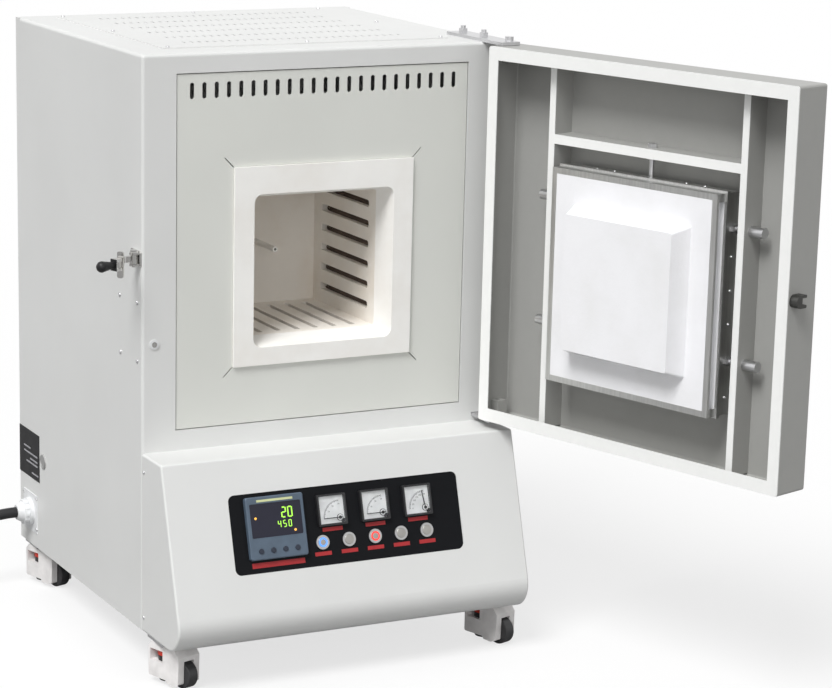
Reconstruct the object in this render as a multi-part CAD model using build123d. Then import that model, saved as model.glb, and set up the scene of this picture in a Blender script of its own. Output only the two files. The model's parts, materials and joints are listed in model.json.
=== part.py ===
from build123d import *
import math
import os

# Front-loading laboratory muffle furnace on four levelling casters, door swung open.
# Millimetres. While it is built, X runs to the right, Y to the back from the cabinet's
# front face, and Z up from the floor. At the end all of it moves to the centre of its footprint.

# Cabinet
CAB_W = 600.0
CAB_D = 560.0
CAB_BOTTOM = 70.0
CAB_TOP = 956.0
SHEET = 1.5
EDGE_R = 5.0
REAR_PAN_D = 22.0
CASE_LIP = 16.0
BASE_SHEET = 2.0
BASE_FLANGE_H = 18.0

# Console below the door
LEDGE_Z = 351.0
LEDGE_D = 75.0
SLOPE_ANGLE = 17.13
ROLL_R = 42.0
BEND_R = 4.0
CONSOLE_EDGE_R = 3.5
CONSOLE_FLANGE = 15.0

# Inset front panel and its vents
PANEL_W = 490.0
PANEL_BOTTOM = 382.2
PANEL_TOP = 926.5
PANEL_GAP = 1.5
PANEL_RECESS = 1.5
PANEL_FLANGE = 12.0
PANEL_LIP = 14.0
VENT_COUNT = 23
VENT_PITCH = 19.95
VENT_W = 7.0
VENT_H = 24.5
VENT_Z = 899.8
SLIT_L = 22.0
SLIT_W = 1.4

# Top vent cover
COVER_W = 480.0
COVER_FRONT = 62.0
COVER_BACK = 528.0
COVER_SEAT = 20.0
COVER_ROWS = 6
COVER_ROW_Y = 122.0
COVER_ROW_PITCH = 70.4
COVER_SLOTS = 30
COVER_SLOT_PITCH = 12.6
COVER_SLOT_W = 3.6
COVER_SLOT_L = 13.0

# Rear vents
REAR_SLOT_W = 60.0
REAR_SLOT_H = 6.0
REAR_SLOT_PITCH = 14.0
REAR_SLOT_COUNT = 6
REAR_SLOT_Z = 800.0
REAR_SLOT_X = 150.0

# Furnace mouth and chamber
MOUTH_PROUD = 3.4
MOUTH_W = 301.6
MOUTH_BOTTOM = 473.5
MOUTH_TOP = 781.8
MOUTH_SEAM = 606.0
MOUTH_GAP = 0.5
OPEN_W = 236.4
OPEN_BOTTOM = 501.3
OPEN_TOP = 739.2
OPEN_R = 14.0
MOUTH_BEVEL = 10.5
CHAMBER_FRONT = 38.4
CHAMBER_DEPTH = 224.0
BOARD_T = 75.0
BOARD_REBATE = 3.0
LINER_SHEET = 1.2
LEG_W = 25.0
LEG_SHEET = 2.0
SLOT_COUNT = 6
SLOT_H = 11.5
SLOT_L = 172.0
SLOT_PITCH = 32.4
SLOT_START = 24.0
SLOT_DEEP = 24.0
SLOT_END_R = 4.5
FLOOR_SLOT_W = 9.0
FLOOR_SLOT_L = 185.0
FLOOR_SLOT_START = 17.0
FLOOR_SLOT_PITCH = 32.0
FLOOR_SLOT_DEEP = 20.0
ELEMENT_D = 8.0
TERMINAL_D = 10.0
TERMINAL_OUT = 42.0
TERMINAL_X = 145.0
TERMINAL_RISE = 70.0
SENSOR_D = 9.0
SENSOR_IN = 84.0
SENSOR_DROP = 5.0
SENSOR_OUT = 30.0
SENSOR_HEAD_D = 44.0
SENSOR_HEAD_L = 28.0
HOLE_SLACK = 0.1

# Door
DOOR_W = 597.0
DOOR_T = 65.0
DOOR_GAP = 3.0
DOOR_TOP_GAP = 0.6
DOOR_H = 591.0
DOOR_SHEET = 1.5
DOOR_EDGE_R = 4.0
DOOR_FLANGE_SIDE = 19.2
DOOR_FLANGE_END = 20.5
DOOR_OPEN = 107.3
PIVOT_IN = 6.9
PIVOT_BACK = 36.5
PIVOT_D = 8.0
PIVOT_SLACK = 0.05
PIVOT_BUSH_W = 15.0
PIVOT_BUSH_D = 20.0
PIVOT_BUSH_H = 26.0
MEMBER_W = 11.7
MEMBER_DEEP = 25.0
MEMBER_HALF_SPAN = 187.0
CROSS_TOP = 830.7
CROSS_H = 14.4

# Door plug
PLUG_Z = 620.3
PLUG_W = 321.0
PLUG_H = 331.0
PLUG_RIM = 9.2
PLUG_GAP = 0.6
PLUG_FRONT_D = 26.0
PLUG_REAR_D = 23.0
PLUG_LIP = 3.0
PLUG_LIP_D = 7.0
PLUG_SLOT_D = 14.0
PLUG_SLOT_END = 12.0
BOARD_FACE_T = 18.0
FRUSTUM_BASE = 230.0
FRUSTUM_TOP = 208.0
FRUSTUM_H = 31.0
HANGER_D = 8.0
HANGER_UP = 112.0
HANGER_DOWN = 85.0
HANGER_DEEP = 42.0
HANGER_HEAD_D = 16.0
HANGER_HEAD_L = 25.0
HANGER_SLACK = 0.15
NUT_AF = 13.0
NUT_H = 6.5

# Hinge plates
HINGE_T = 5.0
HINGE_W = 34.0
HINGE_BACK = 116.0
HINGE_NOSE = 15.0
HINGE_EDGE_IN = 1.0
HINGE_LEAN = 6.0
HINGE_INSIDE = 60.0
HINGE_BLOCK_H = 12.0
HINGE_BOLT_1 = 92.0
HINGE_BOLT_2 = 28.0
STUD_UP = 4.5
PIN_HEAD_D = 13.0
PIN_HEAD_H = 7.0

# Latch on the left side and its catch on the door
LATCH_Z = 651.0
LATCH_Y = 10.0
LATCH_OUT = 9.5
LATCH_PLATE_T = 3.0
LATCH_PLATE_FRONT = 8.0
LATCH_PLATE_W = 36.0
LATCH_PLATE_H = 24.0
EAR_T = 3.0
EAR_R = 6.5
EYE_H = 14.0
EYE_GAP = 0.3
LATCH_PIN_D = 5.0
LATCH_REST = 40.0
ARM_REACH = 39.0
ARM_BOW = 11.0
ARM_W = 7.0
ARM_H = 9.0
ARM_EYE_D = 10.0
BAR_T = 3.0
BAR_W = 10.0
BAR_UP = 18.0
BAR_DOWN = 22.0
CAM_GAP = 1.0
CAM_D = 14.0
CAM_T = 4.0
CAM_PIN_D = 4.0
LEVER_TURN = -21.0
GRIP_START = 7.5
GRIP_L = 31.0
GRIP_THIN = 9.0
GRIP_THICK = 17.0
CATCH_OUT = 14.0
CATCH_V0 = 4.0
CATCH_L = 21.5
CATCH_H = 19.0
CATCH_SLOT = 10.6
CATCH_FLOOR = 12.0

# Door switch
SWITCH_X = 280.4
SWITCH_Z = 519.7
SWITCH_D = 8.0
SWITCH_PROUD = 2.5
SWITCH_NUT_D = 15.0
SWITCH_NUT_T = 1.8
SWITCH_BODY_D = 12.0
SWITCH_BODY_L = 36.0
SWITCH_STEM = 14.0
SWITCH_TRAVEL = 2.4

# Instrument panel on the console slope, s runs down the slope from the ledge edge
WINDOW_X = -3.0
WINDOW_W = 390.0
WINDOW_S0 = 56.0
WINDOW_S1 = 178.0
WINDOW_R = 10.0
PLATE_T = 2.0
PLATE_LAP = 12.0
CTRL_X = -125.0
CTRL_S = 110.0
CTRL_W = 96.0
CTRL_BEZEL = 9.0
CTRL_BODY_W = 90.0
CTRL_BODY_D = 70.0
CTRL_SCREEN_W = 85.0
CTRL_SCREEN_H = 52.0
CTRL_SCREEN_S = 98.7
CTRL_SCREEN_DEEP = 1.2
KEY_S = 144.9
KEY_PITCH = 20.2
KEY_COUNT = 4
KEY_D = 8.4
KEY_PROUD = 1.4
KEY_DEEP = 5.0
KEY_TRAVEL = 0.8
METER_X = (-29.4, 44.0, 117.8)
METER_S = 94.0
METER_W = 48.4
METER_BEZEL = 7.0
METER_RIM = 3.0
METER_DEEP = 4.6
METER_BODY_D = 38.0
METER_BODY_L = 42.0
POINTER_PIVOT = 13.0
POINTER_L = 27.0
POINTER_W = 1.2
POINTER_T = 0.8
POINTER_HUB_D = 5.0
POINTER_GAP = 0.6
METER_SHOWN = (0.0, 0.0, 82.0)
BUTTON_X0 = -49.1
BUTTON_PITCH = 44.8
BUTTON_COUNT = 5
BUTTON_S = 142.2
BUTTON_RING_D = 22.0
BUTTON_RING_H = 2.6
BUTTON_D = 15.0
BUTTON_PROUD = 3.4
BUTTON_BODY_D = 18.0
BUTTON_BODY_L = 26.0
BUTTON_L = 16.0
BUTTON_TRAVEL = 2.5
BUTTON_SLACK = 0.1

# Casters
CASTER_X = 275.0
CASTER_FRONT_Y = -50.0
CASTER_REAR_Y = 508.0
CASTER_TURN = 18.0
MOUNT_T = 3.5
MOUNT_W = 48.0
MOUNT_L = 58.0
KINGPIN_D = 12.0
HOUSING_GAP = 0.5
HOUSING_W = 42.0
HOUSING_BACK = 24.0
HOUSING_TOP_T = 12.0
WHEEL_R = 21.5
WHEEL_W = 18.0
WHEEL_OFFSET = 36.5
WHEEL_SIDE_GAP = 0.6
AXLE_D = 6.0
WHEEL_BORE_SLACK = 0.05
WINDOW_H = 18.0
RING_D = 35.0
RING_GAP = 0.4
FOOT_D = 30.0
FOOT_H = 9.0
FOOT_UP = 4.0
STEM_D = 10.0
STEM_SLACK = 0.05
FOOT_TRAVEL = 8.0
FOOT_CLEAR = 1.2

# Cable gland, cord and plug
GLAND_Y = 505.0
GLAND_Z = 127.5
GLAND_PLATE_T = 1.5
GLAND_PLATE_W = 64.0
GLAND_PLATE_H = 66.0
GLAND_D = 46.0
GLAND_FLANGE = 7.0
GLAND_BODY_D = 38.0
GLAND_BODY = 8.0
GLAND_DOME_D = 25.0
GLAND_DOME = 10.0
CORD_D = 18.0
COIL_R = 100.0
COIL_LAYERS = 3
COIL_STUB = 62.0
COIL_SWELL = 0.6
COIL_LIFT = 1.0
PLUG_RUN = 125.0
PLUG_BODY_D = 36.0
PLUG_BODY_L = 52.0
PLUG_NECK_D = 22.0
PLUG_NECK_L = 26.0
PLUG_BLADE = 18.0
PLUG_BLADE_D = 5.0
PLUG_BLADE_SPREAD = 9.5

CAB_H = CAB_TOP - CAB_BOTTOM
HALF_W = CAB_W / 2
CASE_D = CAB_D - REAR_PAN_D
CHAMBER_W = OPEN_W - 2 * MOUTH_BEVEL
CHAMBER_FLOOR = OPEN_BOTTOM + MOUTH_BEVEL
CHAMBER_ROOF = OPEN_TOP - MOUTH_BEVEL
CHAMBER_BACK = CHAMBER_FRONT + CHAMBER_DEPTH
BOARD_X = CHAMBER_W / 2 + BOARD_T
BOARD_LOW = CHAMBER_FLOOR - BOARD_T
BOARD_HIGH = CHAMBER_ROOF + BOARD_T
BOARD_BACK = CHAMBER_BACK + BOARD_T
DOOR_TOP = CAB_TOP - DOOR_TOP_GAP
DOOR_BOTTOM = DOOR_TOP - DOOR_H
DOOR_X0 = HALF_W - DOOR_W
DOOR_IN = -DOOR_GAP
DOOR_OUT = -DOOR_GAP - DOOR_T
PIVOT_X = HALF_W - PIVOT_IN
PIVOT_Y = DOOR_IN - PIVOT_BACK
PLUG_FACE = -MOUTH_PROUD - PLUG_GAP
LATCH_X = -HALF_W - LATCH_OUT

nodes = {}


def block(x0, x1, y0, y1, z0, z1):
    """Solid box between two corners."""
    middle = Pos((x0 + x1) / 2, (y0 + y1) / 2, (z0 + z1) / 2)
    return middle * Box(abs(x1 - x0), abs(y1 - y0), abs(z1 - z0))


def rod(diameter, start, end):
    """Solid cylinder between two points."""
    a = Vector(*start)
    b = Vector(*end)
    plane = Plane(origin=a, z_dir=(b - a).normalized())
    return extrude(plane * Circle(diameter / 2), (b - a).length)


def hexagon(across_flats, height, at, axis=(0, 0, 1)):
    """Hexagonal nut or head standing on a point."""
    plane = Plane(origin=at, z_dir=axis)
    return extrude(plane * RegularPolygon(across_flats / 2, 6, major_radius=False), height)


def about(x, y, degrees):
    """Turn about a vertical line."""
    return Pos(x, y, 0) * Rot(0, 0, degrees) * Pos(-x, -y, 0)


def keep(name, *solids):
    """File one or more solids under a node's name."""
    nodes[name] = list(solids)


def slope_plane():
    """Plane of the console slope, its origin on the ledge edge, local Y up the slope."""
    lean = math.radians(SLOPE_ANGLE)
    return Plane(origin=(0, -LEDGE_D, LEDGE_Z), x_dir=(1, 0, 0), z_dir=(0, -math.cos(lean), math.sin(lean)))


SLOPE = slope_plane()


def on_slope(x, s, out, shape):
    """Place a shape on the slope: x across, s down from the ledge, out from its face."""
    return SLOPE * Pos(x, -s, out) * shape


# Cabinet sheet metal

def cabinet_casing():
    outer = block(-HALF_W, HALF_W, 0, CASE_D, CAB_BOTTOM, CAB_TOP)
    edges = outer.edges().filter_by(Axis.Z).group_by(Axis.Y)[0]
    edges = edges + outer.edges().group_by(Axis.Z)[-1].filter_by(lambda e: e.center().Y < CASE_D - 1)
    outer = fillet(edges, EDGE_R)
    inner = block(-HALF_W + SHEET, HALF_W - SHEET, SHEET, CASE_D, CAB_BOTTOM, CAB_TOP - SHEET)
    edges = inner.edges().filter_by(Axis.Z).group_by(Axis.Y)[0]
    edges = edges + inner.edges().group_by(Axis.Z)[-1].filter_by(lambda e: e.center().Y < CASE_D - 1)
    inner = fillet(edges, EDGE_R - SHEET)
    shell = outer - inner
    half = PANEL_W / 2
    shell -= block(-half, half, -1, SHEET + 1, PANEL_BOTTOM, PANEL_TOP)
    rear = PANEL_RECESS + PANEL_FLANGE
    ring = block(-half - SHEET, half + SHEET, SHEET, rear + SHEET, PANEL_BOTTOM - SHEET, PANEL_TOP + SHEET)
    ring -= block(-half, half, SHEET, rear, PANEL_BOTTOM, PANEL_TOP)
    inset = PANEL_LIP
    ring -= block(-half + inset, half - inset, SHEET, rear + SHEET + 1, PANEL_BOTTOM + inset, PANEL_TOP - inset)
    shell += ring
    side = HALF_W - SHEET - CASE_LIP
    shell -= block(-side, side, -1, SHEET + 1, CAB_BOTTOM + CASE_LIP, LEDGE_Z - CASE_LIP)
    side = HALF_W - SHEET
    shell -= block(-side, side, -1, EDGE_R + 1, CAB_BOTTOM - 1, CAB_BOTTOM + BASE_SHEET)
    seat = COVER_W / 2 - COVER_SEAT
    shell -= block(-seat, seat, COVER_FRONT + COVER_SEAT, COVER_BACK - COVER_SEAT, CAB_TOP - SHEET - 1, CAB_TOP + 1)
    slot = hinge_outline(0, HINGE_INSIDE, HINGE_T + 2 * PLATE_CLEAR, LOW_HINGE_Z - PLATE_CLEAR, PLATE_CLEAR)
    shell -= slot & block(0, HALF_W - EDGE_R + PLATE_CLEAR, -1, SHEET + 1, CAB_BOTTOM, CAB_TOP)
    shell -= rod(SWITCH_BODY_D + 2 * HOLE_SLACK, (-SWITCH_X, -1, SWITCH_Z), (-SWITCH_X, SHEET + 1, SWITCH_Z))
    shell -= rod(SENSOR_D, (-HALF_W - 1, GLAND_Y, GLAND_Z), (-HALF_W + SHEET + 1, GLAND_Y, GLAND_Z))
    return shell


def base_plate():
    side = HALF_W - SHEET
    front = CONSOLE_BOTTOM_Y + CONSOLE_FLANGE
    plate = block(-side, side, front, CASE_D, CAB_BOTTOM, CAB_BOTTOM + BASE_SHEET)
    for sign in (-1, 1):
        x = sign * side
        plate += block(x, x - sign * BASE_SHEET, EDGE_R, CASE_D, CAB_BOTTOM, CAB_BOTTOM + BASE_FLANGE_H)
    plate += block(-side, side, CASE_D - BASE_SHEET, CASE_D, CAB_BOTTOM, CAB_BOTTOM + BASE_FLANGE_H)
    for x, y in caster_places().values():
        half_w = MOUNT_W / 2
        half_l = MOUNT_L / 2
        plate += block(x - half_w, x + half_w, y - half_l, y + half_l, CAB_BOTTOM - MOUNT_T, CAB_BOTTOM)
        plate += rod(KINGPIN_D, (x, y, CAB_BOTTOM), (x, y, HOUSING_ROOF + HOUSING_GAP))
    return plate


def console_section(shrink):
    """Side outline of the console in the Y-Z plane, drawn inside its skin by shrink."""
    lean = math.radians(SLOPE_ANGLE)
    radius = ROLL_R - shrink
    low = CAB_BOTTOM + shrink
    ledge = LEDGE_Z - shrink
    front = -LEDGE_D + shrink * (1 - math.sin(lean)) / math.cos(lean)
    centre = Vector(0, CONSOLE_BOTTOM_Y, CAB_BOTTOM + ROLL_R)
    top = centre + Vector(0, -math.cos(lean), math.sin(lean)) * radius
    middle = (lean - math.pi / 2) / 2
    nose = centre + Vector(0, -math.cos(middle), math.sin(middle)) * radius
    slope = Line((0, front, ledge), top)
    roll = ThreePointArc(top, nose, centre + Vector(0, 0, -1) * radius)
    ends = [Line((0, 0, ledge), (0, front, ledge)), slope, roll]
    ends += [Line((0, CONSOLE_BOTTOM_Y, low), (0, 0, low)), Line((0, 0, low), (0, 0, ledge))]
    return make_face(Wire(ends))


def console_bottom_y():
    """Where the rolled bottom edge meets the flat underside."""
    lean = math.radians(SLOPE_ANGLE)
    fall = ROLL_R + math.sin(lean) * (CAB_BOTTOM + ROLL_R - LEDGE_Z)
    return -LEDGE_D + fall / math.cos(lean)


CONSOLE_BOTTOM_Y = console_bottom_y()


def console_cover():
    face = console_section(0)
    outer = Pos(-HALF_W, 0, 0) * extrude(face, CAB_W, dir=(1, 0, 0))
    ends = [e for e in outer.edges() if abs(abs(e.center().X) - HALF_W) < 0.01 and e.center().Y < -0.01]
    ends = [e for e in ends if not (e.center().Z < CAB_BOTTOM + 0.01)]
    outer = fillet(ends, CONSOLE_EDGE_R)
    ledge_edge = outer.edges().filter_by(Axis.X).filter_by(lambda e: abs(e.center().Y + LEDGE_D) < 0.5)
    outer = fillet(ledge_edge, BEND_R)
    inner_w = CAB_W - 2 * SHEET
    inner = Pos(-inner_w / 2, 0, 0) * extrude(console_section(SHEET), inner_w, dir=(1, 0, 0))
    shell = outer - inner
    back = CONSOLE_BOTTOM_Y + CONSOLE_FLANGE
    shell -= block(-HALF_W + SHEET, HALF_W - SHEET, back, 1, CAB_BOTTOM - 1, CAB_BOTTOM + SHEET + 1)
    middle = (WINDOW_S0 + WINDOW_S1) / 2
    cut = extrude(RectangleRounded(WINDOW_W, WINDOW_S1 - WINDOW_S0, WINDOW_R), 4 * SHEET)
    shell -= on_slope(WINDOW_X, middle, -2 * SHEET, cut)
    return shell


def rear_panel():
    outer = block(-HALF_W, HALF_W, CASE_D, CAB_D, CAB_BOTTOM, CAB_TOP)
    outer = fillet(outer.edges().group_by(Axis.Y)[-1], EDGE_R - SHEET)
    inner = block(-HALF_W + SHEET, HALF_W - SHEET, CASE_D, CAB_D - SHEET, CAB_BOTTOM + SHEET, CAB_TOP - SHEET)
    shell = outer - inner
    for side in (-1, 1):
        for row in range(REAR_SLOT_COUNT):
            x = side * REAR_SLOT_X
            z = REAR_SLOT_Z - row * REAR_SLOT_PITCH
            half = REAR_SLOT_W / 2
            shell -= block(x - half, x + half, CAB_D - SHEET - 1, CAB_D + 1, z, z + REAR_SLOT_H)
    return shell


def top_vent_cover():
    cover = block(-COVER_W / 2, COVER_W / 2, COVER_FRONT, COVER_BACK, CAB_TOP, CAB_TOP + SHEET)
    first = -(COVER_SLOTS - 1) * COVER_SLOT_PITCH / 2
    cuts = []
    for row in range(COVER_ROWS):
        y = COVER_ROW_Y + row * COVER_ROW_PITCH
        for column in range(COVER_SLOTS):
            x = first + column * COVER_SLOT_PITCH
            half = COVER_SLOT_W / 2
            y0 = y - COVER_SLOT_L / 2
            cuts.append(block(x - half, x + half, y0, y0 + COVER_SLOT_L, CAB_TOP - 1, CAB_TOP + SHEET + 1))
    return cover - cuts


def front_panel():
    half = PANEL_W / 2 - PANEL_GAP
    low = PANEL_BOTTOM + PANEL_GAP
    high = PANEL_TOP - PANEL_GAP
    face = PANEL_RECESS
    back = face + PANEL_FLANGE
    tray = block(-half, half, face, back, low, high)
    tray -= block(-half + SHEET, half - SHEET, face + SHEET, back, low + SHEET, high - SHEET)
    mouth = MOUTH_W / 2 + MOUTH_GAP
    tray -= block(-mouth, mouth, face - 1, face + SHEET + 1, MOUTH_BOTTOM - MOUTH_GAP, MOUTH_TOP + MOUTH_GAP)
    first = -(VENT_COUNT - 1) * VENT_PITCH / 2
    vent_plane = Plane(origin=(0, face - 1, VENT_Z), x_dir=(1, 0, 0), z_dir=(0, 1, 0))
    vent = extrude(SlotOverall(VENT_H, VENT_W, rotation=90), SHEET + 2)
    tray -= [vent_plane * Pos(first + i * VENT_PITCH, 0, 0) * vent for i in range(VENT_COUNT)]
    for sign_x in (-1, 1):
        for z, sign_z in ((MOUTH_BOTTOM - MOUTH_GAP, -1), (MOUTH_TOP + MOUTH_GAP, 1)):
            slit = Box(SLIT_L, SHEET + 2, SLIT_W)
            tilt = Rot(0, -45 * sign_x * sign_z, 0)
            reach = SLIT_L / 2 * math.cos(math.pi / 4)
            place = Pos(sign_x * (mouth + reach - 1), face + SHEET / 2, z + sign_z * (reach - 1))
            tray -= place * tilt * slit
    return tray


# Furnace body

def mouth_ring(low, high):
    """One half of the ceramic ring round the mouth, with its opening tapering inwards."""
    half = MOUTH_W / 2
    ring = block(-half, half, -MOUTH_PROUD, CHAMBER_FRONT, MOUTH_BOTTOM, MOUTH_TOP)
    depth = CHAMBER_FRONT + MOUTH_PROUD
    middle = (OPEN_BOTTOM + OPEN_TOP) / 2
    height = OPEN_TOP - OPEN_BOTTOM
    front = Plane(origin=(0, -MOUTH_PROUD, middle), x_dir=(1, 0, 0), z_dir=(0, 1, 0))
    rear = Plane(origin=(0, CHAMBER_FRONT, middle), x_dir=(1, 0, 0), z_dir=(0, 1, 0))
    wide = RectangleRounded(OPEN_W, height, OPEN_R)
    small = RectangleRounded(CHAMBER_W, height - 2 * MOUTH_BEVEL, OPEN_R - MOUTH_BEVEL + 1)
    ring -= loft([front * wide, rear * small])
    return ring & block(-half, half, -depth, CHAMBER_FRONT, low, high)


def wall_slot_levels():
    middle = (CHAMBER_FLOOR + CHAMBER_ROOF) / 2
    return [middle + (i - (SLOT_COUNT - 1) / 2) * SLOT_PITCH for i in range(SLOT_COUNT)]


def floor_slot_places():
    return [(i - (SLOT_COUNT - 1) / 2) * FLOOR_SLOT_PITCH for i in range(SLOT_COUNT)]


def chamber_boards():
    """Slotted side boards and floor board, each its own solid."""
    boards = []
    start = CHAMBER_FRONT + SLOT_START
    for side in (-1, 1):
        inner = side * CHAMBER_W / 2
        outer = side * BOARD_X
        board = block(inner, outer, CHAMBER_FRONT, CHAMBER_BACK, CHAMBER_FLOOR - BOARD_REBATE, CHAMBER_ROOF)
        for z in wall_slot_levels():
            half = SLOT_H / 2
            deep = inner + side * SLOT_DEEP
            cut = block(inner - side, deep, start, start + SLOT_L, z - half, z + half)
            ends = cut.edges().filter_by(Axis.X).group_by(Axis.Y)[0]
            board -= fillet(ends, SLOT_END_R)
        boards.append(board)
    seat = CHAMBER_FLOOR - BOARD_REBATE
    half = CHAMBER_W / 2
    floor = block(-BOARD_X, BOARD_X, CHAMBER_FRONT, BOARD_BACK, BOARD_LOW, seat)
    floor += block(-half, half, CHAMBER_FRONT, CHAMBER_BACK, BOARD_LOW, CHAMBER_FLOOR)
    start = CHAMBER_FRONT + FLOOR_SLOT_START
    low = CHAMBER_FLOOR - FLOOR_SLOT_DEEP
    for x in floor_slot_places():
        half = FLOOR_SLOT_W / 2
        floor -= block(x - half, x + half, start, start + FLOOR_SLOT_L, low, CHAMBER_FLOOR + 1)
    boards.append(floor)
    return boards


def sensor_z():
    return (CHAMBER_FLOOR + CHAMBER_ROOF) / 2 - SENSOR_DROP


def rear_holes(y0, y1):
    """Drillings for the sensor tube and the element terminals."""
    cuts = [rod(SENSOR_D + 2 * HOLE_SLACK, (0, y0, sensor_z()), (0, y1, sensor_z()))]
    for x, z in terminal_places():
        cuts.append(rod(TERMINAL_D + 2 * HOLE_SLACK, (x, y0, z), (x, y1, z)))
    return cuts


def terminal_places():
    middle = (CHAMBER_FLOOR + CHAMBER_ROOF) / 2
    return [(sx * TERMINAL_X, middle + sz * TERMINAL_RISE) for sx in (-1, 1) for sz in (-1, 1)]


def chamber_hood():
    """Roof and back moulded as one."""
    hood = block(-BOARD_X, BOARD_X, CHAMBER_FRONT, BOARD_BACK, CHAMBER_ROOF, BOARD_HIGH)
    hood += block(-BOARD_X, BOARD_X, CHAMBER_BACK, BOARD_BACK, CHAMBER_FLOOR - BOARD_REBATE, CHAMBER_ROOF)
    return hood - rear_holes(CHAMBER_BACK - 1, BOARD_BACK + 1)


def furnace_liner():
    """Steel box that holds the boards, standing on four angle legs."""
    t = LINER_SHEET
    box_out = block(-BOARD_X - t, BOARD_X + t, CHAMBER_FRONT, BOARD_BACK + t, BOARD_LOW - t, BOARD_HIGH + t)
    box_in = block(-BOARD_X, BOARD_X, CHAMBER_FRONT, BOARD_BACK, BOARD_LOW, BOARD_HIGH)
    liner = box_out - box_in - rear_holes(BOARD_BACK - 1, BOARD_BACK + t + 1)
    foot = CAB_BOTTOM + BASE_SHEET
    for side in (-1, 1):
        for end, y in ((1, CHAMBER_FRONT), (-1, BOARD_BACK + t)):
            x = side * (BOARD_X + t)
            liner += block(x, x - side * LEG_W, y, y + end * LEG_SHEET, foot, BOARD_LOW - t)
            liner += block(x, x - side * LEG_SHEET, y, y + end * LEG_W, foot, BOARD_LOW - t)
    return liner


def heating_elements():
    """Rods lying in the wall and floor slots, and the terminals at the back."""
    rods = []
    start = CHAMBER_FRONT + SLOT_START
    for side in (-1, 1):
        x = side * (CHAMBER_W / 2 + SLOT_DEEP - ELEMENT_D)
        for level in wall_slot_levels():
            z = level - (SLOT_H - ELEMENT_D) / 2
            rods.append(rod(ELEMENT_D, (x, start + SLOT_END_R, z), (x, start + SLOT_L, z)))
    start = CHAMBER_FRONT + FLOOR_SLOT_START
    z = CHAMBER_FLOOR - FLOOR_SLOT_DEEP + ELEMENT_D / 2
    for x in floor_slot_places():
        rods.append(rod(ELEMENT_D, (x, start, z), (x, start + FLOOR_SLOT_L, z)))
    for x, z in terminal_places():
        rods.append(rod(TERMINAL_D, (x, CHAMBER_BACK, z), (x, BOARD_BACK + TERMINAL_OUT, z)))
    return rods


def thermocouple():
    z = sensor_z()
    back = BOARD_BACK + SENSOR_OUT
    sheath = rod(SENSOR_D, (0, CHAMBER_BACK - SENSOR_IN, z), (0, back, z))
    sheath -= rod(SENSOR_D / 2, (0, CHAMBER_BACK - SENSOR_IN - 1, z), (0, CHAMBER_BACK - SENSOR_IN + 12, z))
    head = rod(SENSOR_HEAD_D, (0, back, z), (0, back + SENSOR_HEAD_L, z))
    return sheath + head


# Hinges

PLATE_CLEAR = 0.4
LOW_HINGE_Z = DOOR_BOTTOM - DOOR_TOP_GAP - HINGE_T


def hinge_outline(back_y, length, thick, z, grow=0.0):
    """Flat hinge plate running forward past the pivot and leaning a little outwards."""
    rear = back_y + length
    nose = PIVOT_Y - HINGE_NOSE
    right = HALF_W - HINGE_EDGE_IN
    left = right - HINGE_W
    lean = HINGE_LEAN * (rear - nose) / (HINGE_BACK - nose)
    pts = [(left - grow, rear), (right + grow, rear), (right + lean + grow, nose), (left + lean - grow, nose)]
    face = make_face(Polyline(*pts, close=True))
    return extrude(Pos(0, 0, z) * face, thick)


def hinge_set():
    """Top plate, bottom bracket, the top plate's nuts and the two pivot pins."""
    top = hinge_outline(0, HINGE_BACK, HINGE_T, CAB_TOP)
    top = fillet(top.edges().filter_by(Axis.Z), 3)
    low = hinge_outline(0, HINGE_INSIDE, HINGE_T, LOW_HINGE_Z)
    right = HALF_W - EDGE_R
    rise = LOW_HINGE_Z + HINGE_T
    low = low - block(right, HALF_W + 20, -1, HINGE_INSIDE + 1, CAB_BOTTOM, CAB_TOP)
    low += block(right - HINGE_W, right, SHEET, HINGE_INSIDE, rise, rise + HINGE_BLOCK_H)
    centre = HALF_W - HINGE_EDGE_IN - HINGE_W / 2
    parts = [top, low]
    for y in (HINGE_BOLT_1, HINGE_BOLT_2):
        x = centre + HINGE_LEAN * (HINGE_BACK - y) / (HINGE_BACK - PIVOT_Y + HINGE_NOSE)
        nut = hexagon(NUT_AF, NUT_H, (x, y, CAB_TOP + HINGE_T))
        stud_top = CAB_TOP + HINGE_T + NUT_H + STUD_UP
        parts.append(nut + rod(PIVOT_D, (x, y, CAB_TOP + HINGE_T), (x, y, stud_top)))
    tops = ((CAB_TOP + HINGE_T, -1), (LOW_HINGE_Z, 1))
    reach = DOOR_TOP_GAP + HINGE_T + PIVOT_BUSH_H - 2
    for index, (z, way) in enumerate(tops):
        pin = rod(PIVOT_D, (PIVOT_X, PIVOT_Y, z), (PIVOT_X, PIVOT_Y, z + way * reach))
        head = rod(PIN_HEAD_D, (PIVOT_X, PIVOT_Y, z), (PIVOT_X, PIVOT_Y, z - way * PIN_HEAD_H))
        parts[index] = parts[index] - rod(PIVOT_D, (PIVOT_X, PIVOT_Y, z - 9 * way), (PIVOT_X, PIVOT_Y, z + 9 * way))
        if way < 0:
            parts.append(pin + head)
        else:
            parts[index] += pin
    return parts


# Door, drawn closed and turned open about its pivot at the end

def door_open(shape):
    return about(PIVOT_X, PIVOT_Y, DOOR_OPEN) * shape


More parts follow.
